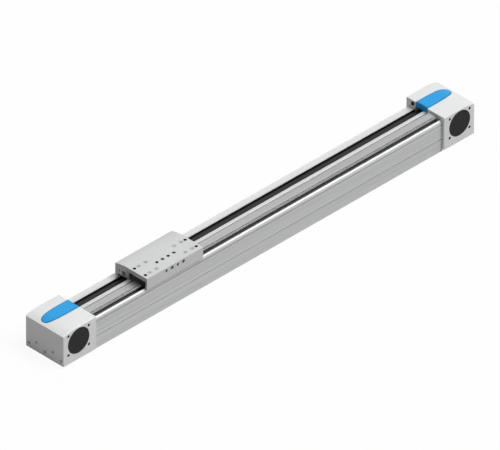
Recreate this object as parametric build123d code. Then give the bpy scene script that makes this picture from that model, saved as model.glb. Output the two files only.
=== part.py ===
from build123d import *
import math
import os

# Toothed belt linear axis: an extruded beam with a rail and a belt, a slide that
# runs on the rail, and a cover with a belt pulley at each end.
# Millimetres. X runs along the beam towards the far cover, Y to the back, Z up.
# The origin is under the middle of the beam, on the surface that it stands on.

# How far a cutting tool reaches beyond the face that it cuts
overcut = 1.0

# Lengths along the beam
profile_length = 747.0
near_cover_length = 69.5
far_cover_length = 66.0
slide_length = 120.0
slide_from_near_cover = 110.3

# Section of the beam
profile_width = 72.6
beam_seat_depth = 1.0
beam_seat_gap = 0.6
front_wall_height = 56.6
front_wall_thickness = 5.0
front_wall_edge_radius = 4.8
back_wall_height = 49.5
back_wall_edge_radius = 2.0
rail_trough_width = 28.4
rail_floor_height = 46.4
rail_floor_thickness = 5.6
ridge_width = 6.3
ridge_height = 55.5
ridge_edge_radius = 0.6
belt_floor_depth = 4.25
wall_thickness = 4.5
web_height = 20.4
web_thickness = 6.0
rib_thickness = 3.0
chamber_radius = 1.5
foot_thickness = 7.5
side_groove_heights = (23.1, 49.0)
side_groove_width = 1.8
side_groove_depth = 1.6
nut_slot_offset = 20.0
nut_slot_mouth_width = 3.4
nut_slot_mouth_depth = 1.8
nut_slot_width = 6.4
nut_slot_height = 2.6

# Guide rail
rail_width = 15.0
rail_height = 13.0
rail_waist_depth = 1.6
rail_waist_height = 6.0
rail_waist_flat = 2.2
rail_edge_chamfer = 0.8
rail_strip_thickness = 0.3
rail_screw_pitch = 60.0
rail_end_gap = 0.5

# Socket head screws: shank, head and drive
rail_screw_diameter = 4.0
rail_screw_head_diameter = 7.0
rail_screw_head_height = 4.0
rail_screw_head_depth = 4.4
rail_screw_grip = 5.0
screw_clearance = 0.1
socket_share = 0.43

# Toothed belt and pulleys
belt_width = 15.0
belt_pitch = 3.0
belt_backing = 1.19
belt_tooth_height = 1.22
belt_tooth_tip = 1.0
belt_tooth_root = 1.9
belt_side_gap = 0.6
belt_clamp_room = 4.0
pitch_line_offset = 0.38
pulley_tooth_count = 20
pulley_axis_height = 37.8
pulley_axis_from_end = 32.4
pulley_groove_depth = 1.28
pulley_groove_clearance = 0.1
pulley_flange_radius = 11.5
pulley_flange_thickness = 1.2
pulley_face_gap = 0.6
running_gap = 0.3
shaft_diameter = 15.0
shaft_bore_diameter = 8.0
shaft_fit = 0.02
belt_channel_gap = 2.4

# Bearings and their seats
bearing_outer_diameter = 28.0
bearing_width = 7.0
bearing_ring_thickness = 1.9
bearing_seal_thickness = 1.0
bearing_fit = 0.02
bearing_shoulder_diameter = 24.0
bearing_shoulder_thickness = 2.6
circlip_thickness = 1.2
circlip_groove_depth = 0.75
circlip_ring_width = 2.1
circlip_opening = 6.0
circlip_gap = 0.1
seat_lip = 1.3

# End covers
cover_width = 82.0
cover_bottom = 4.0
cover_top = 63.3
cover_drop = 4.4
cover_drop_length = 25.0
cover_edge_radius = 1.5
pulley_room_radius = 13.2
pulley_room_side_gap = 0.9
access_bore_diameter = 32.0
flange_hole_spacing_x = 43.0
flange_hole_spacing_z = 35.0
front_flange_hole_diameter = 5.0
back_flange_hole_diameter = 4.2
flange_hole_depth = 10.0
end_hole_height = 10.9
end_hole_spacing = 34.2
end_hole_diameter = 3.3
end_hole_depth = 16.0
end_recess_diameter = 8.0
end_recess_depth = 2.0
stud_spacing = 36.0
stud_diameter = 4.0
stud_length = 40.0
stud_grip = 15.0
stud_clearance = 0.1
side_disc_radius = 22.6
side_disc_thickness = 2.5
side_disc_gap = 0.15
side_disc_notch_radius = 1.6

# Caps on the covers
cap_width = 25.4
cap_centre_y = 8.0
cap_tip_margin = 5.0
cap_tip_length = 38.0
cap_proud = 1.2
cap_thickness = 4.0
cap_lip_height = 9.5
cap_lip_length = 6.0
cap_gap = 0.15
cap_mouth_length = 14.0

# Rubber stops on the inner faces of the covers
stop_width = 4.7
stop_height = 5.6
stop_proud = 2.0
stop_depth = 4.0
stop_y = 26.9
stop_z = 57.7
stop_gap = 0.1

# Slide
slide_top = 76.5
slide_front_y = -38.2
slide_width = 68.6
slide_flat_width = 41.6
slide_back_drop = 4.2
slide_plate_thickness = 7.3
slide_wall_gap = 0.7
slide_skirt_width = 3.0
slide_skirt_bottom = 55.9
slide_back_skirt_width = 6.2
slide_back_skirt_gap = 1.5
slide_cavity_width = 36.1
slide_hole_row_spacing = 24.0
slide_corner_hole_inset = 6.0
slide_hole_diameter = 4.2
slide_hole_depth = 6.0
centring_diameter = 6.0
centring_depth = 2.2
middle_hole_pitch = 12.0
side_hole_drop = 5.3
side_hole_diameter = 3.3
side_hole_depth = 6.0
tension_hole_diameter = 8.0
tension_hole_depth = 14.0
tension_hole_drop = 14.5
tension_screw_length = 8.0
tension_screw_gap = 0.1
index_hole_diameter = 3.0
index_hole_depth = 8.0
index_hole_drop = 13.0
index_hole_offset = 9.5

# Guide carriages under the slide
carriage_end_gap = 0.75
carriage_body_length = 31.0
carriage_cap_length = 5.0
carriage_seal_thickness = 1.0
carriage_flange_width = 33.8
carriage_leg_width = 26.4
carriage_leg_bottom_gap = 2.0
carriage_rail_gap = 0.4
carriage_screw_spacing = 14.5
carriage_screw_diameter = 4.0
carriage_screw_head_diameter = 7.0
carriage_screw_head_height = 4.0
carriage_screw_grip = 6.0
carriage_screw_recess = 0.4
carriage_cap_inset = 0.4

# Belt clamps under the slide
clamp_end_gap = 8.0
clamp_length = 44.0
clamp_belt_gap = 0.35
clamp_wall_gap = 0.4
clamp_jaw_thickness = 2.6
clamp_web_thickness = 3.2
clamp_screw_diameter = 2.0
clamp_screw_spacing = 28.0
clamp_screw_tip_gap = 2.0
clamp_screw_recess = 0.2

# Places along the beam, worked out from the lengths
total_length = near_cover_length + profile_length + far_cover_length
near_end_x = -total_length / 2
far_end_x = total_length / 2
near_face_x = near_end_x + near_cover_length
far_face_x = far_end_x - far_cover_length
near_axis_x = near_end_x + pulley_axis_from_end
far_axis_x = far_end_x - pulley_axis_from_end
slide_centre_x = near_face_x + slide_from_near_cover + slide_length / 2

# Places across the beam
half_width = profile_width / 2
front_trough_y = -half_width + front_wall_thickness
guide_y = front_trough_y + rail_trough_width / 2
ridge_front_y = front_trough_y + rail_trough_width
ridge_back_y = ridge_front_y + ridge_width
belt_front_y = ridge_back_y + belt_side_gap
belt_y = belt_front_y + belt_width / 2
belt_trough_back_y = belt_front_y + belt_width + belt_clamp_room
rail_top = rail_floor_height + rail_height

# Belt and pulley, worked out from pitch and tooth count
pulley_pitch_radius = belt_pitch * pulley_tooth_count / (2 * math.pi)
pulley_tip_radius = pulley_pitch_radius - pitch_line_offset
belt_outer_radius = pulley_tip_radius + belt_backing
belt_wrap_radius = pulley_tip_radius + running_gap
belt_tooth_radius = pulley_tip_radius - belt_tooth_height
belt_top = pulley_axis_height + belt_outer_radius
belt_teeth_bottom = pulley_axis_height + belt_tooth_radius
belt_floor_height = belt_teeth_bottom - belt_floor_depth
pulley_body_width = belt_width + 2 * pulley_face_gap
pulley_room_width = pulley_body_width + 2 * (pulley_flange_thickness + pulley_room_side_gap)

# Heights in the slide
slide_plate_bottom = slide_top - slide_plate_thickness
slide_back_y = slide_front_y + slide_width
slide_block_bottom = ridge_height + slide_wall_gap
slide_cavity_front_y = guide_y - slide_cavity_width / 2
slide_cavity_back_y = guide_y + slide_cavity_width / 2

# Places along the slide, worked out from its ends
slide_corner_hole_x = slide_length / 2 - slide_corner_hole_inset
carriage_half_length = carriage_body_length / 2 + carriage_cap_length + carriage_seal_thickness
carriage_centre_x = slide_length / 2 - carriage_end_gap - carriage_half_length
clamp_offset_x = slide_length / 2 - clamp_end_gap - clamp_length / 2


def block(x1, x2, y1, y2, z1, z2):
    """Block between six faces."""
    centre = Pos((x1 + x2) / 2, (y1 + y2) / 2, (z1 + z2) / 2)
    return centre * Box(x2 - x1, y2 - y1, z2 - z1)


def rod_along_x(x1, x2, y, z, diameter):
    """Round bar along the beam."""
    return Pos((x1 + x2) / 2, y, z) * Rot(Y=90) * Cylinder(diameter / 2, x2 - x1)


def rod_along_y(x, y1, y2, z, diameter):
    """Round bar across the beam."""
    return Pos(x, (y1 + y2) / 2, z) * Rot(X=90) * Cylinder(diameter / 2, y2 - y1)


def rod_upright(x, y, z1, z2, diameter):
    """Upright round bar."""
    return Pos(x, y, (z1 + z2) / 2) * Cylinder(diameter / 2, z2 - z1)


def section_along_x(section, x1, x2):
    """Solid with one section in Y and Z, from x1 to x2."""
    return Pos(x1, 0, 0) * extrude(Plane.YZ * section, amount=x2 - x1)


def nearest_corner(section, y, z):
    """Corner of a flat section that lies nearest to a point."""
    return section.vertices().sort_by_distance((y, z, 0))[0]


def rounded_corner(section, y, z, radius):
    """Section with one of its corners rounded."""
    return fillet(nearest_corner(section, y, z), radius)


def chamber(y1, y2, z1, z2):
    """Hollow in the beam's section, with round corners."""
    return Pos((y1 + y2) / 2, (z1 + z2) / 2) * RectangleRounded(y2 - y1, z2 - z1, chamber_radius)


def rail_screw_places():
    """Places of the rail screws along the beam."""
    room = profile_length - rail_screw_pitch / 2
    count = int(room // rail_screw_pitch) + 1
    middle = (near_face_x + far_face_x) / 2
    first = middle - (count - 1) * rail_screw_pitch / 2
    return [first + index * rail_screw_pitch for index in range(count)]


def profile_outline():
    """Outer line of the beam's section, with both troughs open to the top."""
    points = [
        (-half_width, 0),
        (half_width, 0),
        (half_width, back_wall_height),
        (belt_trough_back_y, back_wall_height),
        (belt_trough_back_y, belt_floor_height),
        (ridge_back_y, belt_floor_height),
        (ridge_back_y, ridge_height),
        (ridge_front_y, ridge_height),
        (ridge_front_y, rail_floor_height),
        (front_trough_y, rail_floor_height),
        (front_trough_y, front_wall_height),
        (-half_width, front_wall_height),
    ]
    outline = make_face(Polyline(*points, close=True))
    outline = rounded_corner(outline, -half_width, front_wall_height, front_wall_edge_radius)
    outline = rounded_corner(outline, half_width, back_wall_height, back_wall_edge_radius)
    outline = rounded_corner(outline, ridge_front_y, ridge_height, ridge_edge_radius)
    outline = rounded_corner(outline, ridge_back_y, ridge_height, ridge_edge_radius)
    return outline


def nut_slot(centre_y):
    """Slot for nuts in the underside, narrow at the mouth and wide inside."""
    mouth = Pos(centre_y, nut_slot_mouth_depth / 2) * Rectangle(nut_slot_mouth_width, nut_slot_mouth_depth)
    room_z = nut_slot_mouth_depth + nut_slot_height / 2
    room = Pos(centre_y, room_z) * Rectangle(nut_slot_width, nut_slot_height)
    return mouth + room


def profile_section():
    """Section of the extruded beam with its hollow chambers, grooves and slots."""
    section = profile_outline()
    inner = half_width - wall_thickness
    web_top = web_height + web_thickness / 2
    web_bottom = web_height - web_thickness / 2
    rib = rib_thickness / 2
    lower_belt = pulley_axis_height - belt_outer_radius
    channel_bottom = lower_belt - belt_channel_gap
    channel_top = pulley_axis_height - belt_tooth_radius + belt_channel_gap
    channel_front = belt_front_y - belt_channel_gap
    channel_back = belt_front_y + belt_width + belt_channel_gap
    section -= chamber(-inner, -rib, foot_thickness, web_bottom)
    section -= chamber(rib, inner, foot_thickness, web_bottom)
    rail_chamber_top = rail_floor_height - rail_floor_thickness
    section -= chamber(-inner, channel_front - rib_thickness, web_top, rail_chamber_top)
    section -= chamber(channel_front, channel_back, channel_bottom, channel_top)
    section -= chamber(channel_back + rib_thickness, inner, web_top, back_wall_height - wall_thickness)
    for height in side_groove_heights:
        groove = Rectangle(side_groove_depth * 2, side_groove_width)
        section -= Pos(-half_width, height) * groove
        if height + side_groove_width < back_wall_height - back_wall_edge_radius:
            section -= Pos(half_width, height) * groove
    section -= nut_slot(-nut_slot_offset)
    section -= nut_slot(nut_slot_offset)
    return section


def profile():
    """Extruded beam, drilled for the rail screws and for the studs of the covers."""
    beam = section_along_x(profile_section(), near_face_x - beam_seat_depth, far_face_x + beam_seat_depth)
    drill = rail_screw_diameter + 2 * screw_clearance
    for x in rail_screw_places():
        bottom = rail_floor_height - rail_floor_thickness - overcut
        beam -= rod_upright(x, guide_y, bottom, rail_floor_height + overcut, drill)
    stud_drill = stud_diameter + 2 * stud_clearance
    for y in (-stud_spacing / 2, stud_spacing / 2):
        reach = beam_seat_depth + overcut
        depth = stud_grip + overcut
        beam -= rod_along_x(near_face_x - reach, near_face_x + depth, y, web_height, stud_drill)
        beam -= rod_along_x(far_face_x - depth, far_face_x + reach, y, web_height, stud_drill)
    return beam


def rail_section():
    """Section of the rail: a foot, a waist for the balls and a head."""
    half = rail_width / 2
    waist = half - rail_waist_depth
    low = rail_waist_height - rail_waist_flat / 2
    high = rail_waist_height + rail_waist_flat / 2
    right = [
        (half, 0),
        (half, low - rail_waist_depth),
        (waist, low),
        (waist, high),
        (half, high + rail_waist_depth),
        (half, rail_height - rail_edge_chamfer),
        (half - rail_edge_chamfer, rail_height),
    ]
    left = [(-y, z) for y, z in reversed(right)]
    section = make_face(Polyline(*right, *left, close=True))
    return Pos(guide_y, rail_floor_height) * section


def guide_rail():
    """Ground steel rail with a counterbored hole for each screw."""
    rail = section_along_x(rail_section(), near_face_x + rail_end_gap, far_face_x - rail_end_gap)
    drill = rail_screw_diameter + 2 * screw_clearance
    counterbore = rail_screw_head_diameter + 2 * screw_clearance
    for x in rail_screw_places():
        rail -= rod_upright(x, guide_y, rail_floor_height - overcut, rail_top + overcut, drill)
        rail -= rod_upright(x, guide_y, rail_top - rail_screw_head_depth, rail_top + overcut, counterbore)
    return rail


def socket_screw(x, y, seat_z, diameter, head_diameter, head_height, length):
    """Socket head screw that hangs from its seat, with the drive open to the top."""
    socket_radius = head_diameter * socket_share / 2
    screw = rod_upright(x, y, seat_z - length, seat_z, diameter)
    screw += rod_upright(x, y, seat_z, seat_z + head_height, head_diameter)
    socket = extrude(RegularPolygon(socket_radius, 6), amount=head_height)
    return screw - Pos(x, y, seat_z + head_height / 2) * socket


def rail_screws():
    """Screws that hold the rail down."""
    seat = rail_top - rail_screw_head_depth
    length = seat - rail_floor_height + rail_screw_grip
    size = (rail_screw_diameter, rail_screw_head_diameter, rail_screw_head_height, length)
    return [socket_screw(x, guide_y, seat, *size) for x in rail_screw_places()]


def rail_cover_strip():
    """Thin steel strip on the rail's top, over the heads of the screws."""
    half = rail_width / 2 - rail_edge_chamfer
    x1 = near_face_x + rail_end_gap
    x2 = far_face_x - rail_end_gap
    return block(x1, x2, guide_y - half, guide_y + half, rail_top, rail_top + rail_strip_thickness)


def belt_teeth(start_x, side, count):
    """Lower or upper line of a run of teeth, from tooth to tooth towards +X."""
    points = []
    root_z = pulley_axis_height + side * pulley_tip_radius
    tip_z = pulley_axis_height + side * belt_tooth_radius
    for index in range(count):
        middle = start_x + (index + 0.5) * belt_pitch
        points.append((middle - belt_tooth_root / 2, root_z))
        points.append((middle - belt_tooth_tip / 2, tip_z))
        points.append((middle + belt_tooth_tip / 2, tip_z))
        points.append((middle + belt_tooth_root / 2, root_z))
    return points


def belt_run_start():
    """Start of the toothed part of the upper run and its number of teeth."""
    lead = 2 * belt_pitch
    count = int((far_axis_x - near_axis_x - 2 * lead) // belt_pitch)
    start = (near_axis_x + far_axis_x) / 2 - count * belt_pitch / 2
    return (start, count)


def belt_upper_run():
    """Side view of the belt's upper run, with its teeth below."""
    start, count = belt_run_start()
    end = start + count * belt_pitch
    tip = pulley_axis_height + pulley_tip_radius
    wrap = pulley_axis_height + belt_wrap_radius
    points = [(near_axis_x, belt_top), (near_axis_x, wrap), (start, wrap), (start, tip)]
    points += belt_teeth(start, 1, count)
    points += [(end, tip), (end, wrap), (far_axis_x, wrap), (far_axis_x, belt_top)]
    return make_face(Polyline(*points, close=True))


def belt_lower_run():
    """Side view of the belt's lower run, inside the beam."""
    bottom = pulley_axis_height - belt_outer_radius
    top = pulley_axis_height - belt_wrap_radius
    points = [(near_axis_x, bottom), (far_axis_x, bottom), (far_axis_x, top), (near_axis_x, top)]
    return make_face(Polyline(*points, close=True))


def belt_turn(axis_x, end):
    """Side view of the half turn of the belt round one pulley."""
    ring = Circle(belt_outer_radius) - Circle(belt_wrap_radius)
    half = Pos(end * belt_outer_radius, 0) * Rectangle(2 * belt_outer_radius, 4 * belt_outer_radius)
    return Pos(axis_x, pulley_axis_height) * (ring & half)


def toothed_belt():
    """Both runs of the belt and its turn round each pulley, face to face."""
    views = [belt_upper_run(), belt_lower_run(), belt_turn(near_axis_x, -1), belt_turn(far_axis_x, 1)]
    return [Pos(0, belt_y, 0) * extrude(Plane.XZ * view, amount=belt_width / 2, both=True) for view in views]


def cover_side(length, rise):
    """Side view of a cover from its outer end at x = 0, raised by a given height."""
    top = cover_top + rise
    end_top = top - cover_drop
    radius = (cover_drop_length ** 2 + cover_drop ** 2) / (2 * cover_drop)
    half_angle = math.asin(cover_drop_length / radius) / 2
    middle_x = cover_drop_length - radius * math.sin(half_angle)
    middle_z = top - radius * (1 - math.cos(half_angle))
    line = ThreePointArc((0, end_top), (middle_x, middle_z), (cover_drop_length, top))
    line += Polyline((cover_drop_length, top), (length, top), (length, cover_bottom))
    line += Polyline((length, cover_bottom), (0, cover_bottom), (0, end_top))
    return make_face(line)


def cap_plan(end, gap):
    """Plan of a cap: a tongue whose tip is half of a long ellipse."""
    half = cap_width / 2 + gap
    shoulder = cap_tip_margin + cap_tip_length
    tongue = Pos(shoulder, 0) * Ellipse(cap_tip_length + gap, half)
    tongue &= Pos(shoulder / 2, 0) * Rectangle(shoulder, cover_width)
    tongue += Pos((shoulder + end) / 2, 0) * Rectangle(end - shoulder, 2 * half)
    return Pos(0, cap_centre_y) * tongue


def cap_solid(length, end, gap):
    """Body of a cap up to its inner end, also the tool for its pocket in the cover."""
    seat = cover_top - cap_thickness - gap
    lip_bottom = cover_top + cap_proud - cap_lip_height
    tongue = Pos(0, 0, seat) * extrude(cap_plan(end, gap), amount=cap_thickness + 2 * cap_proud)
    lip_start = length - cap_lip_length - gap
    half = cap_width / 2 + gap
    lip = block(lip_start, end, cap_centre_y - half, cap_centre_y + half, lip_bottom, seat)
    return tongue + lip


def cover_cap(length):
    """Cap that fills the pocket and stands a little above the cover's top."""
    shell = extrude(Plane.XZ * cover_side(length, cap_proud), amount=cover_width / 2, both=True)
    return (cap_solid(length, length, 0) & shell) - beam_seat(length)


def cover_shell(length):
    """Outer form of a cover: straight sides and a top that bends down to the end."""
    shell = extrude(Plane.XZ * cover_side(length, 0), amount=cover_width / 2, both=True)
    edges = shell.edges().filter_by(Axis.Z).group_by(Axis.X)[0]
    top = shell.edges().filter_by(lambda edge: abs(edge.center().Y) > cover_width / 2 - 0.1)
    top = top.filter_by(lambda edge: edge.center().Z > cover_top - cover_drop)
    top = top.filter_by(lambda edge: edge.length > cover_drop * 2)
    return fillet(edges + top, cover_edge_radius)


def pulley_room(length):
    """Room for the pulley and the belt, open to the beam."""
    y1 = belt_y - pulley_room_width / 2
    y2 = belt_y + pulley_room_width / 2
    room = rod_along_y(pulley_axis_from_end, y1, y2, pulley_axis_height, 2 * pulley_room_radius)
    z1 = pulley_axis_height - pulley_room_radius
    z2 = pulley_axis_height + pulley_room_radius
    room += block(pulley_axis_from_end, length + overcut, y1, y2, z1, z2)
    mouth_top = cover_top + cap_proud - cap_lip_height
    return room + block(length - cap_mouth_length, length + overcut, y1, y2, pulley_axis_height, mouth_top)


def shaft_bore(side):
    """Stepped bore for bearing, circlip and drive on one side of the pulley room."""
    x = pulley_axis_from_end
    z = pulley_axis_height
    room = belt_y + side * pulley_room_width / 2
    bearing = room + side * bearing_shoulder_thickness
    clip = bearing + side * bearing_width
    lip = clip + side * (circlip_thickness + circlip_gap)
    access = lip + side * seat_lip
    recess = side * (cover_width / 2 - side_disc_thickness)
    outside = side * (cover_width / 2 + overcut)
    seat = bearing_outer_diameter + 2 * bearing_fit
    steps = [
        (room, bearing, bearing_shoulder_diameter),
        (bearing, access, seat),
        (clip, lip, seat + 2 * circlip_groove_depth),
        (access, recess, access_bore_diameter),
        (recess, outside, 2 * (side_disc_radius + side_disc_gap)),
    ]
    bore = Part()
    for first, second, diameter in steps:
        y1 = min(first, second)
        y2 = max(first, second)
        bore += rod_along_y(x, y1, y2, z, diameter)
    return bore


def flange_holes(side):
    """Four threaded holes round the shaft for a motor or a shaft flange."""
    x = pulley_axis_from_end
    z = pulley_axis_height
    inside = side * (cover_width / 2 - flange_hole_depth)
    outside = side * (cover_width / 2 + overcut)
    diameter = front_flange_hole_diameter if side < 0 else back_flange_hole_diameter
    holes = Part()
    for step_x in (-flange_hole_spacing_x / 2, flange_hole_spacing_x / 2):
        for step_z in (-flange_hole_spacing_z / 2, flange_hole_spacing_z / 2):
            y1 = min(inside, outside)
            y2 = max(inside, outside)
            holes += rod_along_y(x + step_x, y1, y2, z + step_z, diameter)
    return holes


def end_holes():
    """Three mounting holes in the outer end face, each with a round recess."""
    holes = Part()
    for y in (-end_hole_spacing, 0, end_hole_spacing):
        holes += rod_along_x(-overcut, end_hole_depth, y, end_hole_height, end_hole_diameter)
        holes += rod_along_x(-overcut, end_recess_depth, y, end_hole_height, end_recess_diameter)
    return holes


def stud_holes(length):
    """Two holes right through the cover for the studs that hold it to the beam."""
    drill = stud_diameter + 2 * stud_clearance
    holes = Part()
    for y in (-stud_spacing / 2, stud_spacing / 2):
        holes += rod_along_x(-overcut, length + overcut, y, web_height, drill)
    return holes


def beam_seat(length):
    """Shallow seat in the cover's inner face that takes the end of the beam."""
    outline = offset(profile_outline(), amount=beam_seat_gap, kind=Kind.INTERSECTION)
    return section_along_x(outline, length - beam_seat_depth, length + overcut)


def end_cover(length):
    """Cover of one end, with its outer end at x = 0 and its inner face at x = length."""
    cover = cover_shell(length)
    cover -= beam_seat(length)
    cover -= cap_solid(length, length + overcut, cap_gap)
    cover -= pulley_room(length)
    cover -= end_holes()
    cover -= stud_holes(length)
    for side in (-1, 1):
        cover -= shaft_bore(side)
        cover -= flange_holes(side)
    y1 = stop_y - stop_width / 2 - stop_gap
    y2 = stop_y + stop_width / 2 + stop_gap
    z1 = stop_z - stop_height / 2 - stop_gap
    z2 = stop_z + stop_height / 2 + stop_gap
    cover -= block(length - stop_depth, length + overcut, y1, y2, z1, z2)
    return cover


def at_near_end(piece):
    """Piece drawn from its outer end, moved to the near end of the beam."""
    return Pos(near_end_x, 0, 0) * piece


def at_far_end(piece):
    """Piece drawn from its outer end, turned round to the far end of the beam."""
    return Pos(far_end_x, 0, 0) * mirror(piece, Plane.YZ)


def side_disc(side):
    """Round plate that closes the shaft bore, with a small notch for a tool."""
    outer = side * cover_width / 2
    inner = side * (cover_width / 2 - side_disc_thickness)
    y1 = min(inner, outer)
    y2 = max(inner, outer)
    disc = rod_along_y(pulley_axis_from_end, y1, y2, pulley_axis_height, 2 * side_disc_radius)
    notch_x = pulley_axis_from_end + side_disc_radius * math.sqrt(0.5)
    notch_z = pulley_axis_height + side_disc_radius * math.sqrt(0.5)
    notch = rod_along_y(notch_x, y1 - overcut, y2 + overcut, notch_z, 2 * side_disc_notch_radius)
    return disc - notch


def bearing_start(side):
    """Face of the bearing on one side that lies nearest to the pulley."""
    return belt_y + side * (pulley_room_width / 2 + bearing_shoulder_thickness)


def ring_along_y(x, y1, y2, z, outer_diameter, inner_diameter):
    """Plain ring round a line across the beam."""
    low = min(y1, y2)
    high = max(y1, y2)
    ring = rod_along_y(x, low, high, z, outer_diameter)
    return ring - rod_along_y(x, low - overcut, high + overcut, z, inner_diameter)


def bearing_outer_ring(side):
    """Outer ring of a sealed bearing, with a seal on each face."""
    x = pulley_axis_from_end
    z = pulley_axis_height
    y1 = bearing_start(side)
    y2 = y1 + side * bearing_width
    seal_bore = shaft_diameter + 2 * (bearing_ring_thickness + running_gap)
    race_bore = bearing_outer_diameter - 2 * bearing_ring_thickness
    ring = ring_along_y(x, y1, y2, z, bearing_outer_diameter, seal_bore)
    race1 = y1 + side * bearing_seal_thickness
    race2 = y2 - side * bearing_seal_thickness
    return ring - rod_along_y(x, min(race1, race2), max(race1, race2), z, race_bore)


def bearing_inner_ring(side):
    """Inner ring of a bearing, which turns with the shaft."""
    y1 = bearing_start(side)
    y2 = y1 + side * bearing_width
    outer = shaft_diameter + 2 * bearing_ring_thickness
    bore = shaft_diameter + 2 * shaft_fit
    return ring_along_y(pulley_axis_from_end, y1, y2, pulley_axis_height, outer, bore)


def circlip(side):
    """Open spring ring that keeps a bearing in its seat."""
    x = pulley_axis_from_end
    z = pulley_axis_height
    y1 = bearing_start(side) + side * bearing_width
    y2 = y1 + side * circlip_thickness
    outer = bearing_outer_diameter + 2 * (circlip_groove_depth - circlip_gap)
    inner = outer - 2 * circlip_ring_width - 2 * circlip_groove_depth
    ring = ring_along_y(x, y1, y2, z, outer, inner)
    half = circlip_opening / 2
    low = min(y1, y2) - overcut
    high = max(y1, y2) + overcut
    return ring - block(x - half, x + half, low, high, z, z + outer)


def pulley_tooth_gap(angle):
    """Groove between two teeth of a pulley, wider at the mouth than at the floor."""
    floor = pulley_tip_radius - pulley_groove_depth
    mouth = pulley_tip_radius + pulley_groove_depth
    floor_half = belt_tooth_tip / 2 + pulley_groove_clearance
    mouth_half = floor_half + belt_tooth_root - belt_tooth_tip
    points = [(floor, -floor_half), (mouth, -mouth_half), (mouth, mouth_half), (floor, floor_half)]
    return Rot(Z=angle) * make_face(Polyline(*points, close=True))


def pulley_wheel():
    """Toothed wheel in one piece with its hollow shaft."""
    wheel = Circle(pulley_tip_radius)
    for index in range(pulley_tooth_count):
        wheel -= pulley_tooth_gap(index * 360 / pulley_tooth_count)
    place = Pos(pulley_axis_from_end, belt_y, pulley_axis_height)
    body = place * extrude(Plane.XZ * wheel, amount=pulley_body_width / 2, both=True)
    shaft_front = bearing_start(-1) - bearing_width
    shaft_back = bearing_start(1) + bearing_width
    body += rod_along_y(pulley_axis_from_end, shaft_front, shaft_back, pulley_axis_height, shaft_diameter)
    front = shaft_front - overcut
    back = shaft_back + overcut
    return body - rod_along_y(pulley_axis_from_end, front, back, pulley_axis_height, shaft_bore_diameter)


def pulley_flanges():
    """Two thin discs that keep the belt on the teeth."""
    flanges = []
    for side in (-1, 1):
        y1 = belt_y + side * pulley_body_width / 2
        y2 = y1 + side * pulley_flange_thickness
        bore = shaft_diameter + 2 * shaft_fit
        x = pulley_axis_from_end
        flanges.append(ring_along_y(x, y1, y2, pulley_axis_height, 2 * pulley_flange_radius, bore))
    return flanges


def stop_buffer(length):
    """Rubber stop in the inner face of a cover."""
    y1 = stop_y - stop_width / 2
    y2 = stop_y + stop_width / 2
    z1 = stop_z - stop_height / 2
    z2 = stop_z + stop_height / 2
    return block(length - stop_depth, length + stop_proud, y1, y2, z1, z2)


def cover_studs(length):
    """Headless studs that pull a cover against the end of the beam."""
    studs = []
    for y in (-stud_spacing / 2, stud_spacing / 2):
        start = length + stud_grip - stud_length
        studs.append(rod_along_x(start, length + stud_grip, y, web_height, stud_diameter))
    return studs


def slide_section():
    """Section of the slide: flat top, round back, room for the carriages below."""
    flat_end = slide_front_y + slide_flat_width
    fall_width = slide_width - slide_flat_width
    radius = (fall_width ** 2 + slide_back_drop ** 2) / (2 * slide_back_drop)
    half_angle = math.asin(fall_width / radius) / 2
    middle_y = flat_end + radius * math.sin(half_angle)
    middle_z = slide_top - radius * (1 - math.cos(half_angle))
    back_top = slide_top - slide_back_drop
    skirt_back = slide_back_y - slide_back_skirt_width
    skirt_bottom = back_wall_height + slide_back_skirt_gap
    skirt_inner = slide_front_y + slide_skirt_width
    shoulder = front_wall_height + slide_wall_gap
    line = ThreePointArc((flat_end, slide_top), (middle_y, middle_z), (slide_back_y, back_top))
    line += Polyline(
        (slide_back_y, back_top),
        (slide_back_y, skirt_bottom),
        (skirt_back, skirt_bottom),
        (skirt_back, slide_block_bottom),
        (slide_cavity_back_y, slide_block_bottom),
        (slide_cavity_back_y, slide_plate_bottom),
        (slide_cavity_front_y, slide_plate_bottom),
        (slide_cavity_front_y, shoulder),
        (skirt_inner, shoulder),
        (skirt_inner, slide_skirt_bottom),
        (slide_front_y, slide_skirt_bottom),
        (slide_front_y, slide_top),
        (flat_end, slide_top),
    )
    return make_face(line)


def hole_rows():
    """Both rows of holes along the slide's top."""
    return (guide_y - slide_hole_row_spacing / 2, guide_y + slide_hole_row_spacing / 2)


def carriage_screw_places():
    """Places of the carriage screws along the slide, for both carriages."""
    step = carriage_screw_spacing / 2
    inner = carriage_centre_x - step
    outer = carriage_centre_x + step
    return (-outer, -inner, inner, outer)


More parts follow.
